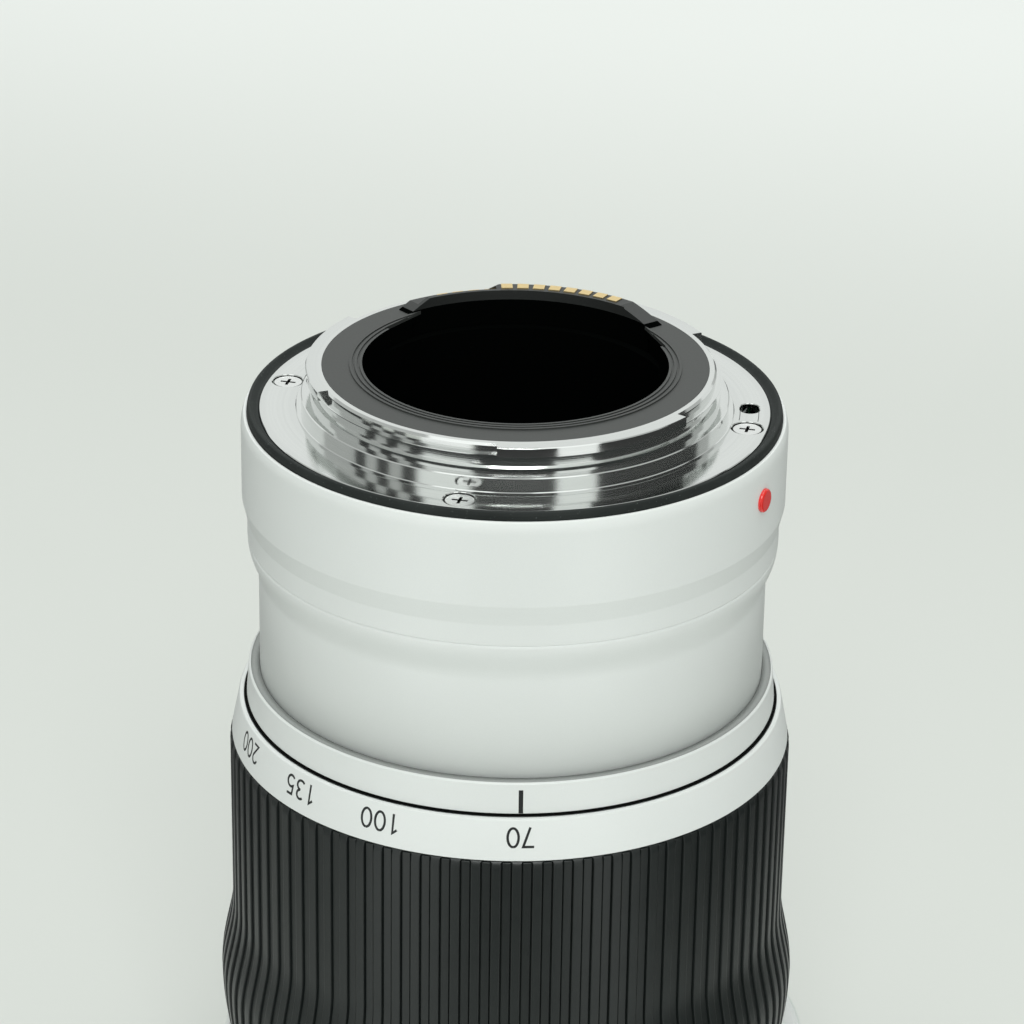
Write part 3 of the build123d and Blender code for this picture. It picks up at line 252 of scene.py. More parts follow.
def soft_lamp(name, place, target, width, height, power):
    """A soft box that faces its target; nearly white, a little green as in the photograph."""
    lamp = bpy.data.lights.new(name, "AREA")
    lamp.shape = "RECTANGLE"
    lamp.size, lamp.size_y = width, height
    lamp.energy = power
    lamp.color = (0.98, 1.0, 0.985)
    holder = bpy.data.objects.new(name, lamp)
    bpy.context.scene.collection.objects.link(holder)
    holder.location = place
    holder.rotation_mode = "QUATERNION"
    holder.rotation_quaternion = (Vector(place) - Vector(target)).to_track_quat("Z", "Y")


soft_lamp("top_box", (0.0, 0.25, 1.3), (0, 0.05, 0.1), 1.1, 0.9, 9.0)
soft_lamp("front_box", (0.0, -1.15, 1.25), (0, 0, 0.09), 0.7, 0.5, 9.5)
soft_lamp("low_box", (0.0, -1.7, 0.42), (0, 0, 0.09), 1.2, 0.45, 5.0)

# Bayonet mount: turned brass with bright plating. One flange plate carries the stepped neck
# and three tabs; four counterbored holes take the screws and a slot takes the lock pin.
turn_steps = 360
beside_jump = 0.001
same_place = 1e-7
mount_low, mount_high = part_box("bayonet_mount")
plate_bottom = mount_low.z / mm
flange_level = plate_bottom + 2.0
mount_top = mount_high.z / mm
plate_radius = mount_high.x / mm
throat_radius = 24.85
neck_radius = 25.7
foot_radius = 26.35
foot_level = flange_level + 2.6
foot_slope = 0.1
foot_inset = 0.05
base_radius = 27.5
base_level = flange_level + 1.9
base_ease = 0.12
shoulder_radius = 28.2
shoulder_level = flange_level + 0.3
edge_ease = 0.1
tab_radius = 26.9
tab_bottom = mount_top - 1.25
tab_ease = 0.12
ledge_radius = 26.5
ledge_thickness = 0.1
ledge_slope = 0.06
rim_radius = 25.75
rim_ease_width = 0.25
rim_ease_height = 0.3
tab_span = 57.0
tab_middles = (21.5, 141.5, 261.5)


def on_ring(index_angle, radius, height):
    """Place in metres for an angle from the index mark towards +X, and mm of radius and height."""
    turn = radians(index_angle - 90)
    return radius * mm * cos(turn), radius * mm * sin(turn), height * mm


def show(name, mesh, body, material, replaced=()):
    """Link a finished mesh as a piece of the lens that rides on a body."""
    piece = bpy.data.objects.new(name, mesh)
    bpy.context.scene.collection.objects.link(piece)
    for face in mesh.polygons:
        face.use_smooth = True
    mesh.materials.append(material)
    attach(piece, body)
    if replaced:
        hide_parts(*replaced)
    return piece


def turned(name, outline, jumps=()):
    """Closed skin turned about the optical axis from (radius, height) points in mm. The outline
    may be a function of the index angle; at each jump its two forms meet in a flat wall."""
    outline_at = outline if callable(outline) else lambda index_angle: outline
    stations = [(step * 360 / turn_steps, step * 360 / turn_steps) for step in range(turn_steps)]
    for jump in jumps:
        for side in (-beside_jump, beside_jump):
            stations.append((jump % 360, jump % 360 + side))
    stations.sort(key=lambda station: station[1])
    skin = bmesh.new()
    rings = [
        [skin.verts.new(on_ring(angle, radius, height)) for radius, height in outline_at(asked)]
        for angle, asked in stations
    ]
    for ring, following in zip(rings, rings[1:] + rings[:1]):
        for here in range(len(ring)):
            after = (here + 1) % len(ring)
            skin.faces.new((ring[here], following[here], following[after], ring[after]))
    bmesh.ops.remove_doubles(skin, verts=skin.verts, dist=same_place)
    bmesh.ops.dissolve_degenerate(skin, edges=skin.edges, dist=same_place)
    bmesh.ops.recalc_face_normals(skin, faces=skin.faces)
    mesh = bpy.data.meshes.new(name)
    skin.to_mesh(mesh)
    skin.free()
    return mesh


def edge_break(piece, width, segments=2):
    """Small rounds on the sharp edges of a piece, as a tool or a mould leaves them."""
    bevel = piece.modifiers.new("edge_break", "BEVEL")
    bevel.width = width * mm
    bevel.segments = segments
    bevel.limit_method = "ANGLE"
    bevel.angle_limit = radians(12)
    bevel.harden_normals = True
    return piece


def mount_outline(index_angle):
    """The mount's outline at an angle: its rim stands out in a tab or falls back to a ledge."""
    offset = min(abs((index_angle - middle + 180) % 360 - 180) for middle in tab_middles)
    if offset < tab_span / 2:
        rim = [
            (tab_radius, tab_bottom),
            (tab_radius, tab_bottom + ledge_thickness),
            (tab_radius, tab_bottom + 2 * ledge_thickness),
            (tab_radius, mount_top - tab_ease),
            (tab_radius - edge_ease, mount_top),
        ]
    else:
        rim = [
            (ledge_radius, tab_bottom),
            (ledge_radius, tab_bottom + ledge_thickness),
            (rim_radius, tab_bottom + ledge_thickness + ledge_slope),
            (rim_radius, mount_top - rim_ease_height),
            (rim_radius - rim_ease_width, mount_top),
        ]
    return [
        (throat_radius, plate_bottom),
        (plate_radius, plate_bottom),
        (plate_radius, flange_level - edge_ease),
        (plate_radius - edge_ease, flange_level),
        (shoulder_radius, flange_level),
        (shoulder_radius, shoulder_level - edge_ease),
        (shoulder_radius - edge_ease, shoulder_level),
        (base_radius, shoulder_level),
        (base_radius, base_level - base_ease),
        (base_radius - base_ease, base_level),
        (foot_radius, base_level),
        (foot_radius - foot_inset, foot_level),
        (neck_radius, foot_level + foot_slope),
        (neck_radius, tab_bottom),
        *rim,
        (throat_radius, mount_top),
    ]


def turned_coords(shade, place):
    """Distance of a place from the optical axis, and its height."""
    x, y, z = (shade.node("SeparateXYZ", {"Vector": place}, output=axis) for axis in "XYZ")
    return shade.maths("SQRT", x * x + y * y), z


plated_metal, shade = begin_finish("plated_metal")
place = object_place(shade)
radius, height = turned_coords(shade, place)
tool_line = shade.node("CombineXYZ", {"X": radius, "Y": height})
tool_marks = grain(shade, tool_line, 9000.0, 3.0)
broad_marks = grain(shade, tool_line, 1400.0, 2.0)
end_finish(
    shade,
    Base_Color=tone(shade, broad_marks, (0.66, 0.675, 0.665), (0.80, 0.815, 0.80)),
    Metallic=1.0,
    Roughness=0.04 + 0.12 * broad_marks,
    Normal=bumped(shade, tool_marks, 0.003 * mm),
)
tab_ends = [middle + side * tab_span / 2 for middle in tab_middles for side in (-1, 1)]
mount = show(
    "bayonet_mount_turned",
    turned("bayonet_mount_turned", mount_outline, tab_ends),
    "lens_body",
    plated_metal,
    ["bayonet_mount"],
)
screw_angles = [-15.0 + 90.0 * number for number in range(4)]
screw_circle_radius = 30.3


def cut(piece, cutter_mesh):
    """Cut a closed mesh out of a piece for good."""
    cutter = bpy.data.objects.new("cutter", cutter_mesh)
    bpy.context.scene.collection.objects.link(cutter)
    boolean = piece.modifiers.new("cut", "BOOLEAN")
    boolean.object = cutter
    boolean.solver = "EXACT"
    bpy.context.view_layer.update()
    cut_piece = piece.evaluated_get(bpy.context.evaluated_depsgraph_get())
    changed = bpy.data.meshes.new_from_object(cut_piece)
    piece.modifiers.clear()
    piece.data = changed
    bpy.data.objects.remove(cutter)


column_steps = 48


def column(index_angle, radius, low, high, around_ring, across_ring, flare=0.0):
    """Closed column of a rounded cross-section whose middle stands on the ring at an angle. The
    flare is how far its top stands out past its base all round."""
    skin = bmesh.new()
    straight = (around_ring - across_ring) / 2
    base = []
    for step in range(column_steps):
        turn = 2 * pi * step / column_steps
        side = straight if cos(turn) > 0 else -straight
        shift = radians(index_angle - 90)
        for level, reach in ((low, across_ring / 2), (high, across_ring / 2 + flare)):
            along, across = reach * cos(turn) + side, reach * sin(turn)
            base.append((
                (radius * cos(shift) - along * sin(shift) + across * cos(shift)) * mm,
                (radius * sin(shift) + along * cos(shift) + across * sin(shift)) * mm,
                level * mm,
            ))
    lower = [skin.verts.new(place) for place in base[0::2]]
    upper = [skin.verts.new(place) for place in base[1::2]]
    skin.faces.new(lower)
    skin.faces.new(upper)
    for here in range(len(lower)):
        after = (here + 1) % len(lower)
        skin.faces.new((lower[here], lower[after], upper[after], upper[here]))
    bmesh.ops.recalc_face_normals(skin, faces=skin.faces)
    mesh = bpy.data.meshes.new("column")
    skin.to_mesh(mesh)
    skin.free()
    return mesh


screw_hole_width = 4.1
screw_hole_floor = flange_level - 0.9
lock_slot_angle = 87.1
lock_slot_radius = 30.2
lock_slot_length = 3.3
lock_slot_width = 2.5
overrun = 1.0
holes = [
    (angle, screw_circle_radius, screw_hole_floor, screw_hole_width, screw_hole_width)
    for angle in screw_angles
]
lock_slot = (
    lock_slot_angle, lock_slot_radius, plate_bottom - overrun, lock_slot_length, lock_slot_width
)
for angle, radius, floor_level, length, width in holes + [lock_slot]:
    cut(mount, column(angle, radius, floor_level, flange_level + overrun, length, width))
    mouth = flange_level - edge_ease, flange_level + edge_ease
    cut(mount, column(angle, radius, *mouth, length, width, 2 * edge_ease))
mount.data.set_sharp_from_angle(angle=radians(20))

# Mount screws: four bright steel screws with a cross recess, sunk in the flange plate.
screw_steel, shade = begin_finish("screw_steel")
place = object_place(shade)
radius, height = turned_coords(shade, place)
wear = grain(shade, place, 2500.0, 3.0)
# Below a level 0.12 mm under the top of the heads the steel is near black: painted shade in the
# cross recesses and on the heads' sides down in their counterbores.
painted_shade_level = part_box("mount_screws")[1].z - 0.12 * mm
above_painted_shade = shade.maths("GREATER_THAN", height, painted_shade_level)
end_finish(
    shade,
    Base_Color=tone(
        shade, above_painted_shade * (0.9 + 0.1 * wear), (0.02, 0.02, 0.02), (0.86, 0.87, 0.86)
    ),
    Metallic=1.0,
    Roughness=0.24 + 0.15 * wear,
    Normal=bumped(shade, wear, 0.004 * mm),
)


def dress(material, *names):
    """Give a finish to CAD nodes that are shown as they are."""
    for name in names:
        nodes[name].data.materials.clear()
        nodes[name].data.materials.append(material)


dress(screw_steel, "mount_screws")

# Gasket: a soft black rubber ring with a raised lip, pressed in between cover and flange.
gasket_rubber, shade = begin_finish("gasket_rubber")
place = object_place(shade)
dust = shade.maths("GREATER_THAN", grain(shade, place, 4200.0, 2.0), 0.72)
smears = grain(shade, place, 140.0, 3.0)
end_finish(
    shade,
    Base_Color=tone(shade, 0.25 * smears + dust, (0.006, 0.008, 0.0075), (0.10, 0.115, 0.11)),
    Roughness=0.46 + 0.3 * smears,
    Specular_IOR_Level=0.16,
    Normal=bumped(shade, grain(shade, place, 2600.0, 3.0), 0.03 * mm),
)
gasket_low, gasket_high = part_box("mount_gasket")
gasket_bottom = gasket_low.z / mm
gasket_top = gasket_high.z / mm
gasket_radius = gasket_high.x / mm
skin_gap = 0.03
lip_points = [(34.32, 0.12), (34.15, 0.0), (33.9, 0.03), (33.6, 0.35), (33.3, 0.62)]
lip_outer_drop = 0.55
lip_inner_drop = 0.75
gasket = show(
    "mount_gasket_lip",
    turned("mount_gasket_lip", [
        (plate_radius + skin_gap, gasket_bottom),
        (gasket_radius, gasket_bottom),
        (gasket_radius, gasket_top - lip_outer_drop),
        *((radius, gasket_top - drop) for radius, drop in lip_points),
        (plate_radius + skin_gap, gasket_top - lip_inner_drop),
    ]),
    "lens_body",
    gasket_rubber,
    ["mount_gasket"],
)
edge_break(gasket, 0.1)

# Rear baffle: a moulded black plate round the rear opening, with a tube that runs down inside.
moulded_black, shade = begin_finish("moulded_black")
place = object_place(shade)
mould_grain = grain(shade, place, 3800.0, 3.0)
end_finish(
    shade,
    Base_Color=tone(shade, mould_grain, (0.030, 0.033, 0.031), (0.048, 0.052, 0.049)),
    Roughness=0.46 + 0.12 * mould_grain,
    Normal=bumped(shade, mould_grain, 0.008 * mm),
)


def black_with_painted_shade(name, base_colour, roughness, painted_shade_mask):
    """Black plastic that turns near black, without gloss, where the mask is one: velvet black
    paint, made darker still as painted shade where little light gets in.
    """
    material, shade = begin_finish(name)
    place = object_place(shade)
    radius, height = turned_coords(shade, place)
    trap_grain = grain(shade, place, 3800.0, 3.0)
    relief = bumped(shade, trap_grain, 0.008 * mm)
    outer = shade.node("BsdfPrincipled", {
        "Base Color": tone(shade, trap_grain, [0.8 * part for part in base_colour], base_colour),
        "Roughness": roughness + 0.12 * trap_grain,
        "Normal": relief,
    })
    painted_shade_surface = shade.node("BsdfPrincipled", {
        "Base Color": tone(shade, trap_grain, (0.0008, 0.0011, 0.0010), (0.0016, 0.0020, 0.0018)),
        "Roughness": 0.8 + 0.1 * trap_grain,
        "Specular IOR Level": 0.0,
        "Normal": relief,
    })
    mixed = shade.node("MixShader", {0: painted_shade_mask(shade, radius, height), 1: outer, 2: painted_shade_surface})
    shade.node("OutputMaterial", {"Surface": mixed})
    return material


opening_radius = 19.66
opening_lip = 0.3


def shade_inside_opening(shade, radius, height):
    """One on the tube wall and in the recess of the baffle, painted shade over velvet black
    paint there; nought on its flat ring.
    """
    below = shade.maths("LESS_THAN", height, (mount_top - opening_lip) * mm)
    return shade.maths("MAXIMUM", below, shade.maths("LESS_THAN", radius, opening_radius * mm))


baffle_black = black_with_painted_shade("baffle_black", (0.034, 0.037, 0.035), 0.42, shade_inside_opening)
dress(baffle_black, "rear_baffle")
dress(moulded_black, "focus_motor", "focus_cell", "iris_housing", "iris_cover", "ring_seat")

# Contact block: a curved black block behind the baffle, with a lower step at one end, and
# twelve gilded pads set in its top.
block_shade_level = mount_top + 0.35


def shade_below_lip(shade, radius, height):
    """One on the block's walls below the level of the mount's top: painted shade down in the
    opening.
    """
    return shade.maths("LESS_THAN", height, block_shade_level * mm)


dress(black_with_painted_shade("block_black", (0.020, 0.022, 0.021), 0.36, shade_below_lip), "contact_block")
pad_gold, shade = begin_finish("pad_gold")
place = object_place(shade)
pad_marks = grain(shade, place, 3000.0, 3.0)
end_finish(
    shade,
    Base_Color=tone(shade, pad_marks, (0.78, 0.56, 0.24), (0.90, 0.72, 0.38)),
    Metallic=1.0,
    Roughness=0.24 + 0.14 * pad_marks,
    Normal=bumped(shade, pad_marks, 0.003 * mm),
)
dress(pad_gold, "contact_pads")

# Rear cover: the painted metal shell round the mount, with a step, a slope and a rounded rim.
white_paint, shade = begin_finish("white_paint")
place = object_place(shade)
flakes = grain(shade, place, 7000.0, 2.0)
cloud = grain(shade, place, 45.0, 2.0)
end_finish(
    shade,
    Base_Color=tone(shade, 0.6 * flakes + 0.4 * cloud, (0.665, 0.688, 0.675), (0.735, 0.76, 0.745)),
    Roughness=0.36 + 0.1 * flakes,
    Normal=bumped(shade, flakes, 0.003 * mm),
)
cover_low, cover_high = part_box("rear_cover")
cover_bottom = cover_low.z / mm
cover_top = cover_high.z / mm
cover_radius = cover_high.x / mm
cover_bore = plate_radius + 0.1
cover_step_radius = 34.6
cover_step_height = 2.9
cover_slope_height = 5.6
rim_turn = 0.41
rim_inset = 0.35
rim_height = 1.7
rim_points = 7
cover_rim = [
    (
        cover_radius - rim_inset * (1 - cos(turn)) / (1 - cos(rim_turn)),
        cover_top - rim_height + rim_height * sin(turn) / sin(rim_turn),
    )
    for turn in (rim_turn * step / (rim_points - 1) for step in range(rim_points))
]
cover = show(
    "rear_cover_shell",
    turned("rear_cover_shell", [
        (cover_bore, cover_bottom),
        (cover_step_radius, cover_bottom),
        (cover_step_radius, cover_bottom + cover_step_height),
        (cover_radius, cover_bottom + cover_slope_height),
        *cover_rim,
        (gasket_radius + skin_gap, cover_top),
        (gasket_radius + skin_gap, gasket_bottom),
        (cover_bore, gasket_bottom),
    ]),
    "lens_body",
    white_paint,
    ["rear_cover"],
)
edge_break(cover, 0.12, 3)

# Alignment dot: a glossy red pip pressed into the side of the cover.
dot_red, shade = begin_finish("dot_red")
place = object_place(shade)
dot_grain = grain(shade, place, 900.0, 2.0)
end_finish(
    shade,
    Base_Color=tone(shade, dot_grain, (0.66, 0.018, 0.014), (0.74, 0.030, 0.024)),
    Roughness=0.16 + 0.08 * dot_grain,
    Coat_Weight=0.4,
)
dress(dot_red, "alignment_dot")

# Rear barrel: the narrow painted tube below the cover, which swells out to meet it.
barrel_low, barrel_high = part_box("rear_barrel")
barrel_bottom = barrel_low.z / mm
barrel_top = barrel_high.z / mm
barrel_end_radius = barrel_high.x / mm
barrel_radius = 33.2
barrel_bore = 31.8
swell_top = barrel_top - 0.5
swell_length = 5.1
swell_points = 15


def smooth_step(share):
    return share * share * (3 - 2 * share)


barrel_swell = [
    (
        barrel_radius + (barrel_end_radius - barrel_radius) * smooth_step(share),
        swell_top - swell_length * (1 - share),
    )
    for share in (step / (swell_points - 1) for step in range(swell_points))
]
show(
    "rear_barrel_tube",
    turned("rear_barrel_tube", [
        (barrel_bore, barrel_bottom),
        (barrel_radius, barrel_bottom),
        *barrel_swell,
        (barrel_end_radius, barrel_top),
        (barrel_bore, barrel_top),
    ]),
    "lens_body",
    white_paint,
    ["rear_barrel"],
)

# Index ring: a fixed painted ring in front of the barrel, with a flat grey ring, darker than
# the paint, let into its rear end and the black mark that the focal lengths are read against.
index_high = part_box("index_ring")[1]
index_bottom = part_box("zoom_ring")[1].z / mm + 0.2
index_top = index_high.z / mm
index_radius = index_high.x / mm
index_rear_radius = 34.7
index_bevel = 0.2
seat_radius = index_rear_radius - 0.3
seat_depth = 0.4
index_ring = show(
    "index_ring_turned",
    turned("index_ring_turned", [
        (barrel_radius + skin_gap, index_bottom),
        (index_radius - edge_ease, index_bottom),
        (index_radius, index_bottom + edge_ease),
        (index_rear_radius, index_top - index_bevel),
        (index_rear_radius - index_bevel, index_top),
        (seat_radius, index_top),
        (seat_radius, index_top - seat_depth),
        (barrel_radius + skin_gap, index_top - seat_depth),
    ]),
    "lens_body",
    white_paint,
    ["index_ring"],
)
edge_break(index_ring, 0.08)
seat_grey, shade = begin_finish("seat_grey")
place = object_place(shade)
seat_grain = grain(shade, place, 4000.0, 3.0)
end_finish(
    shade,
    Base_Color=tone(shade, seat_grain, (0.25, 0.265, 0.255), (0.34, 0.355, 0.345)),
    Roughness=0.5 + 0.1 * seat_grain,
)
grey_ring_gap = 0.02
grey_ring_drop = 0.04
show(
    "index_seat_grey_ring",
    turned("index_seat_grey_ring", [
        (barrel_radius + skin_gap, index_top - seat_depth + grey_ring_gap),
        (seat_radius - grey_ring_gap, index_top - seat_depth + grey_ring_gap),
        (seat_radius - grey_ring_gap, index_top - grey_ring_drop),
        (barrel_radius + skin_gap, index_top - grey_ring_drop),
    ]),
    "lens_body",
    seat_grey,
)
print_and_cut_shade_ink, shade = begin_finish("print_and_cut_shade_ink")
place = object_place(shade)
ink_grain = grain(shade, place, 9000.0, 2.0)
end_finish(
    shade,
    Base_Color=tone(shade, ink_grain, (0.006, 0.008, 0.008), (0.016, 0.018, 0.018)),
    Roughness=0.42 + 0.1 * ink_grain,
)
ink_height = 0.012


def ribbon(skin, path, width, wrap):
    """A flat stroke of even width along (right, up) points in mm, laid on a surface by wrap."""
    sides = []
    for here, (px, py) in enumerate(path):
        before = path[max(here - 1, 0)]
        after = path[min(here + 1, len(path) - 1)]
        if path[0] == path[-1] and here in (0, len(path) - 1):
            before, after = path[-2], path[1]
        first = Vector((px - before[0], py - before[1]))
        second = Vector((after[0] - px, after[1] - py))
        first = first.normalized() if first.length else second.normalized()
        second = second.normalized() if second.length else first
        middle = (first + second).normalized()
        reach = width / 2 / max(middle.dot(first), 0.5)
        across = Vector((-middle.y, middle.x)) * reach
        edges = [(px + side * across.x, py + side * across.y) for side in (1, -1)]
        sides.append([skin.verts.new(wrap(*edge)) for edge in edges])
    for (left, right), (next_left, next_right) in zip(sides, sides[1:]):
        skin.faces.new((left, right, next_right, next_left))


def ink_piece(name, strokes, width, wrap, body):
    """Strokes of dark ink as one thin piece: print, and painted shade for cut lines."""
    skin = bmesh.new()
    for path in strokes:
        ribbon(skin, path, width, wrap)
    mesh = bpy.data.meshes.new(name)
    skin.to_mesh(mesh)
    skin.free()
    return show(name, mesh, body, print_and_cut_shade_ink)


mark_start = 0.12
mark_length = 3.15
mark_width = 0.57


def index_ring_wrap(right, up):
    height = index_bottom + mark_start + up
    slope_share = (height - index_bottom) / (index_top - index_bevel - index_bottom)
    radius = index_radius + (index_rear_radius - index_radius) * slope_share + ink_height
    return on_ring(right / radius * 180 / pi, radius, height)


mark_path = [(0, 0), (0, mark_length / 3), (0, mark_length)]
ink_piece("index_mark", [mark_path], mark_width, index_ring_wrap, "lens_body")

# Gap ring: a thin black ring that closes the gap between the index ring and the zoom ring,
# made near black and almost without gloss as painted shade in the gap.
gap_shade_black, shade = begin_finish("gap_shade_black")
place = object_place(shade)
gap_shade_grain = grain(shade, place, 4000.0, 2.0)
end_finish(
    shade,
    Base_Color=tone(shade, gap_shade_grain, (0.001, 0.0013, 0.0012), (0.003, 0.0035, 0.0033)),
    Roughness=0.8 + 0.1 * gap_shade_grain,
    Specular_IOR_Level=0.05,
)
gap_ring_inside = 34.3
gap_ring_outside = 35.33
gap_ring_bottom = index_bottom - 0.17
gap_ring_outer_top = index_bottom - 0.12
gap_ring_inner_top = index_bottom - 0.04
show(
    "index_gap_shade_ring",
    turned("index_gap_shade_ring", [
        (gap_ring_inside, gap_ring_bottom),
        (gap_ring_outside, gap_ring_bottom),
        (gap_ring_outside, gap_ring_outer_top),
        (gap_ring_inside, gap_ring_inner_top),
    ]),
    "lens_body",
    gap_shade_black,
)

# Lock pin lines: two fine cut lines in the flange plate, from the lock pin's slot to the next
# screw, drawn flat in dark ink: painted shade of the cuts.
lock_line_radii = (28.95, 31.35)
lock_line_angles = (79.4, 81.0, 82.6, 84.2, 85.6)
lock_line_width = 0.09


def flange_wrap(right, back):
    return right * mm, back * mm, (flange_level + ink_height) * mm


lock_lines = []
for line_radius in lock_line_radii:
    line_places = [on_ring(angle, line_radius, flange_level) for angle in lock_line_angles]
    lock_lines.append([(right / mm, back / mm) for right, back, height in line_places])
ink_piece("lock_pin_lines", lock_lines, lock_line_width, flange_wrap, "lens_body")

# Zoom ring: the painted ring with the focal length scale; its sleeve runs on under the grip.
zoom_low, zoom_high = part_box("zoom_ring")
zoom_bottom = zoom_low.z / mm
zoom_top = zoom_high.z / mm
scale_front_radius = zoom_high.x / mm
scale_rear_radius = 36.05
scale_bottom = zoom_top - 5.4
scale_edge = 0.35
sleeve_bore = 35.38
sleeve_radius = 36.2
zoom_ring = show(
    "zoom_ring_turned",
    turned("zoom_ring_turned", [
        (sleeve_bore, zoom_bottom),
        (sleeve_radius, zoom_bottom),
        (sleeve_radius, scale_bottom),
        (scale_front_radius, scale_bottom),
        (scale_rear_radius, zoom_top - scale_edge),
        (scale_rear_radius - edge_ease, zoom_top - edge_ease),
        (scale_rear_radius - scale_edge, zoom_top),
        (sleeve_bore, zoom_top),
    ]),
    "zoom_group",
    white_paint,
    ["zoom_ring"],
)
edge_break(zoom_ring, 0.08)
numeral_height = 2.64
numeral_width = 1.60
numeral_pitch = 1.94
numeral_base = 77.07
numeral_stroke = 0.32
bow_step = 12


def bow(middle_x, middle_y, reach_x, reach_y, start, end):
    """Points on an oval from one angle to another, for a round stroke."""
    count = max(int(abs(end - start) / bow_step), 2)
    turns = [radians(start + (end - start) * step / count) for step in range(count + 1)]
    return [(middle_x + reach_x * cos(turn), middle_y + reach_y * sin(turn)) for turn in turns]


numeral_strokes = {
    "0": [bow(0.5, 0.5, 0.43, 0.46, 90, 450)],
    "1": [[(0.2, 0.76), (0.56, 0.955), (0.56, 0.0)]],
    "2": [bow(0.48, 0.70, 0.40, 0.26, 165, -25) + [(0.12, 0.045), (0.92, 0.045)]],
    "3": [
        bow(0.45, 0.735, 0.38, 0.225, 140, -80),
        bow(0.45, 0.275, 0.43, 0.235, 88, -145),
    ],
    "5": [
        [(0.86, 0.955), (0.24, 0.955), (0.17, 0.53)] + bow(0.46, 0.32, 0.42, 0.28, 125, -145),
    ],
    "7": [[(0.06, 0.955), (0.92, 0.955), (0.36, 0.0)]],
}


def scale_wrap(index_angle):
    """Wrap for figures that are read from the front: up runs towards the front rim."""

    def wrap(right, up):
        height = numeral_base - up
        slope_share = (height - scale_bottom) / (zoom_top - scale_edge - scale_bottom)
        narrowing = (scale_rear_radius - scale_front_radius) * slope_share
        radius = scale_front_radius + narrowing + ink_height
        return on_ring(index_angle - right / radius * 180 / pi, radius, height)

    return wrap


numeral_gap = numeral_pitch - numeral_width
for focal_length, index_angle in (("70", 0.0), ("100", -28.8), ("135", -49.4), ("200", -70.2)):
    strokes = []
    for place_in_number, figure in enumerate(focal_length):
        start = (place_in_number - len(focal_length) / 2) * numeral_pitch + numeral_gap / 2
        for path in numeral_strokes[figure]:
            strokes.append([(start + px * numeral_width, py * numeral_height) for px, py in path])
    name = "scale_" + focal_length
    ink_piece(name, strokes, numeral_stroke, scale_wrap(index_angle), "zoom_group")

# Zoom grip: one moulded rubber sleeve with ninety straight ribs. Flat panels with round corners
# lie between them, and the ribs fall away to the scale at their rear ends.
grip_rubber, shade = begin_finish("grip_rubber")
place = object_place(shade)
skin_marks = grain(shade, place, 5200.0, 4.0)
patches = grain(shade, place, 260.0, 3.0)
end_finish(
    shade,
    Base_Color=tone(shade, patches, (0.0055, 0.0085, 0.0080), (0.0115, 0.0150, 0.0142)),
    Roughness=0.31 + 0.14 * skin_marks,
    Specular_IOR_Level=0.5,
    Normal=bumped(shade, skin_marks, 0.012 * mm),
)
grip_low, grip_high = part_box("zoom_grip")
grip_bottom = grip_low.z / mm
grip_top = grip_high.z / mm
grip_radius = 37.3
grip_front_radius = 37.4
grip_swell_radius = 38.94
grip_swell_level = grip_bottom + 11.2
grip_swell_start = grip_bottom + 22.3
front_slope = 0.28
rib_count = 90
panel_half_width = 0.74
panel_depth = 0.3
panel_corner = 0.3
panel_end_rim = 0.14
crease_depth = 0.28
crease_wall = 0.09
crease_rise = 0.14
first_panel_angle = 1.3
grip_end_length = 1.3
grip_end_drop = 0.75
grip_bore = 36.23


def curve_between(share, start, end, start_slope, end_slope):
    """Cubic from start to end with a slope at each end, both per unit of the share."""
    return (
        start * (1 + 2 * share) * (1 - share) ** 2
        + start_slope * share * (1 - share) ** 2
        + end * share * share * (3 - 2 * share)
        + end_slope * share * share * (share - 1)
    )


def grip_outside(height):
    """Radius of the rib tops at a level, all in mm."""
    if height < grip_swell_level:
        length = grip_swell_level - grip_bottom
        share = (height - grip_bottom) / length
        return curve_between(share, grip_front_radius, grip_swell_radius, front_slope * length, 0)
    if height < grip_swell_start:
        share = (height - grip_swell_level) / (grip_swell_start - grip_swell_level)
        return curve_between(share, grip_swell_radius, grip_radius, 0, 0)
    fall = max(0, (height - grip_top + grip_end_length) / grip_end_length)
    return grip_radius - grip_end_drop * (1 - (1 - min(fall, 1) ** 2) ** 0.5)


def grip_surface(across, height):
    """Radius at a distance from a panel's middle line and at a level: rib, crease or flat panel."""
    past_side = abs(across) - (panel_half_width - panel_corner)
    past_end = height - (grip_top - panel_end_rim - panel_corner)
    if past_side > 0 and past_end > 0:
        inside = panel_corner - hypot(past_side, past_end)
    else:
        inside = panel_corner - max(past_side, past_end)
    rib = grip_outside(height)
    panel = grip_outside(min(height, grip_top - grip_end_length)) - panel_depth
    crease = min(rib, panel) - crease_depth
    if inside < crease_wall:
        return rib + (crease - rib) * smooth_step(max(inside / crease_wall, 0))
    return crease + (panel - crease) * smooth_step(min((inside - crease_wall) / crease_rise, 1))


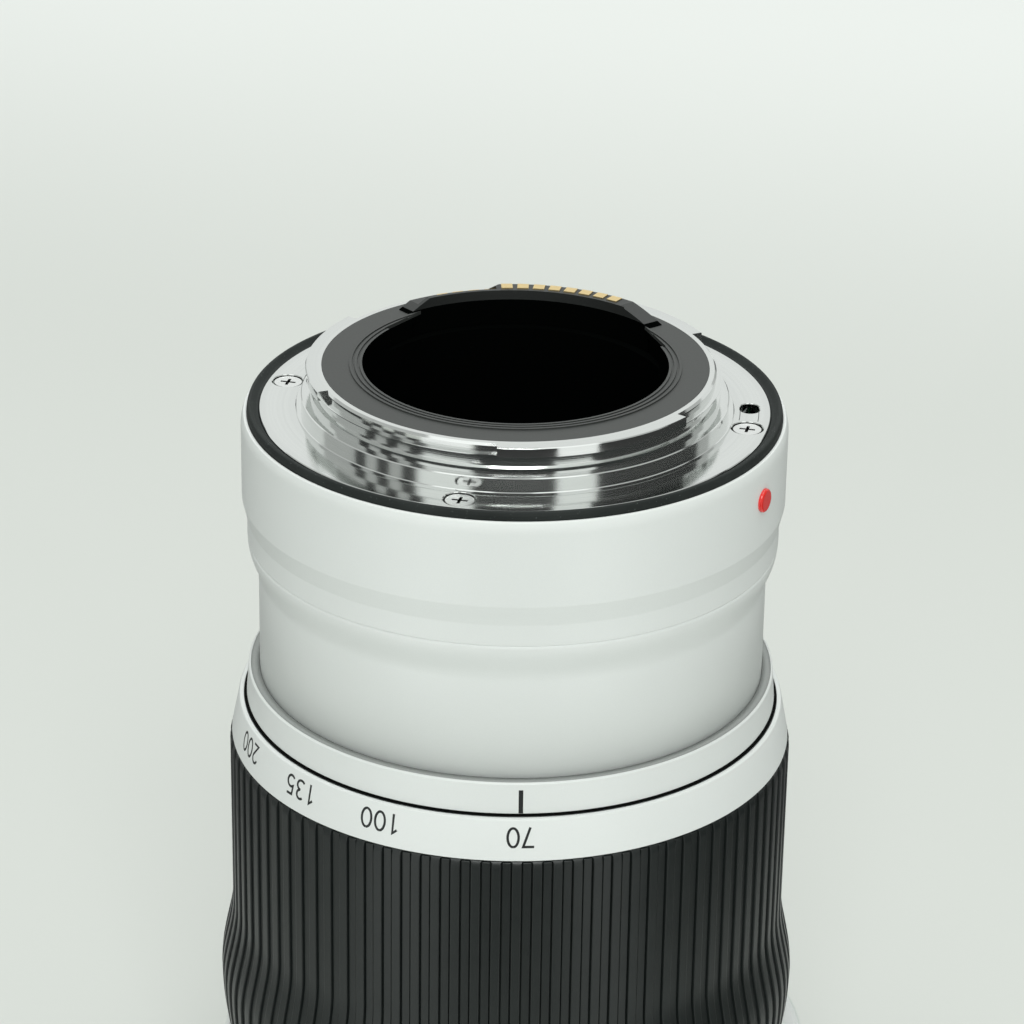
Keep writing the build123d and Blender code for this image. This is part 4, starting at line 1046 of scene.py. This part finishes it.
rib_pitch = 2 * pi * grip_radius / rib_count
panel_stops = [0.0, 0.3, 0.46, 0.51, 0.56, 0.60, 0.635, 0.665, 0.69, 0.71, 0.74, 0.82, 1.0]
across_stops = [-stop for stop in reversed(panel_stops[1:])] + panel_stops + [rib_pitch / 2]
end_stops = [0.0, 0.07, 0.14, 0.17, 0.20, 0.23, 0.26, 0.30, 0.35, 0.41, 0.48, 0.58]
end_stops += [0.7, 0.85, 1.0, 1.15, 1.3, 1.8]
level_step = 1.2
last_level_rest = 0.4
levels = [grip_top - stop for stop in end_stops]
while levels[-1] - grip_bottom > level_step + last_level_rest:
    levels.append(levels[-1] - level_step)
levels.append(grip_bottom)
skin = bmesh.new()
columns = []
for rib in range(rib_count):
    for across in across_stops:
        index_angle = first_panel_angle + (rib + across / rib_pitch) * 360 / rib_count
        outside = [(grip_surface(across, level), level) for level in levels]
        wall = [(grip_bore, grip_bottom), (grip_bore, grip_top)]
        line = [skin.verts.new(on_ring(index_angle, *point)) for point in outside + wall]
        columns.append(line)
for line, following in zip(columns, columns[1:] + columns[:1]):
    for here in range(len(line)):
        after = (here + 1) % len(line)
        skin.faces.new((line[here], line[after], following[after], following[here]))
bmesh.ops.recalc_face_normals(skin, faces=skin.faces)
grip_mesh = bpy.data.meshes.new("zoom_grip_ribs")
skin.to_mesh(grip_mesh)
skin.free()
show("zoom_grip_ribs", grip_mesh, "zoom_group", grip_rubber, ["zoom_grip"])

# Switch section: the painted ring in front of the grip with a pale panel of four slide
# switches on one side and the zoom lock on the other.
dress(white_paint, "switch_housing", "spacer_ring")
panel_grey, shade = begin_finish("panel_grey")
place = object_place(shade)
panel_grain = grain(shade, place, 4000.0, 3.0)
end_finish(
    shade,
    Base_Color=tone(shade, panel_grain, (0.50, 0.54, 0.51), (0.60, 0.64, 0.61)),
    Roughness=0.5 + 0.12 * panel_grain,
    Normal=bumped(shade, panel_grain, 0.006 * mm),
)
dress(panel_grey, "switch_panel")
dress(
    moulded_black,
    "focus_limit_switch",
    "focus_mode_switch",
    "stabiliser_switch",
    "stabiliser_mode_switch",
    "zoom_lock_slider",
)

# Focus ring, control ring and front rim: black anodised metal, turned and knurled, with a
# ribbed rubber band on the focus ring.
black_anodised, shade = begin_finish("black_anodised")
place = object_place(shade)
anodised_grain = grain(shade, place, 6000.0, 2.0)
end_finish(
    shade,
    Base_Color=tone(shade, anodised_grain, (0.022, 0.024, 0.024), (0.034, 0.036, 0.036)),
    Metallic=0.35,
    Roughness=0.40 + 0.1 * anodised_grain,
    Normal=bumped(shade, anodised_grain, 0.004 * mm),
)
dress(
    black_anodised,
    "focus_ring",
    "control_ring",
    "front_rim",
    "front_retainer",
    "front_lens_cell",
    "front_lock_ring",
    "extension_tube",
    "rear_lens_cell",
    "variator_cell",
)
dress(grip_rubber, "focus_grip")

# Glass: coated optical glass in the front, variator, focus and rear groups.
coated_glass, shade = begin_finish("coated_glass")
place = object_place(shade)
coating = grain(shade, place, 30.0, 1.0)
end_finish(
    shade,
    Base_Color=tone(shade, coating, (0.80, 0.90, 0.86), (0.88, 0.94, 0.92)),
    Roughness=0.02 + 0.02 * coating,
    IOR=1.6,
    Transmission_Weight=1.0,
    Coat_Weight=0.3,
)
dress(coated_glass, "front_glass", "doublet_glass", "variator_glass", "focus_glass", "rear_lens")

# Inner tubes, frame, board and followers: plain turned aluminium, brass and circuit board.
plain_aluminium, shade = begin_finish("plain_aluminium")
place = object_place(shade)
radius, height = turned_coords(shade, place)
turning_lines = grain(shade, shade.node("CombineXYZ", {"X": radius, "Y": height}), 5000.0, 3.0)
end_finish(
    shade,
    Base_Color=tone(shade, turning_lines, (0.56, 0.57, 0.575), (0.68, 0.69, 0.70)),
    Metallic=1.0,
    Roughness=0.28 + 0.14 * turning_lines,
    Normal=bumped(shade, turning_lines, 0.004 * mm),
)
dress(
    plain_aluminium,
    "main_barrel",
    "guide_tube",
    "cam_tube",
    "rear_frame",
    "focus_rods",
    "iris_blades",
    "zoom_key",
)
turned_brass, shade = begin_finish("turned_brass")
place = object_place(shade)
brass_marks = grain(shade, place, 3000.0, 3.0)
end_finish(
    shade,
    Base_Color=tone(shade, brass_marks, (0.58, 0.44, 0.20), (0.72, 0.58, 0.30)),
    Metallic=1.0,
    Roughness=0.26 + 0.12 * brass_marks,
    Normal=bumped(shade, brass_marks, 0.003 * mm),
)
dress(turned_brass, "extension_followers", "variator_followers")
board_green, shade = begin_finish("board_green")
place = object_place(shade)
board_marks = grain(shade, place, 1500.0, 3.0)
end_finish(
    shade,
    Base_Color=tone(shade, board_marks, (0.015, 0.10, 0.045), (0.03, 0.17, 0.075)),
    Roughness=0.35 + 0.15 * board_marks,
    Normal=bumped(shade, board_marks, 0.01 * mm),
)
dress(board_green, "circuit_board")
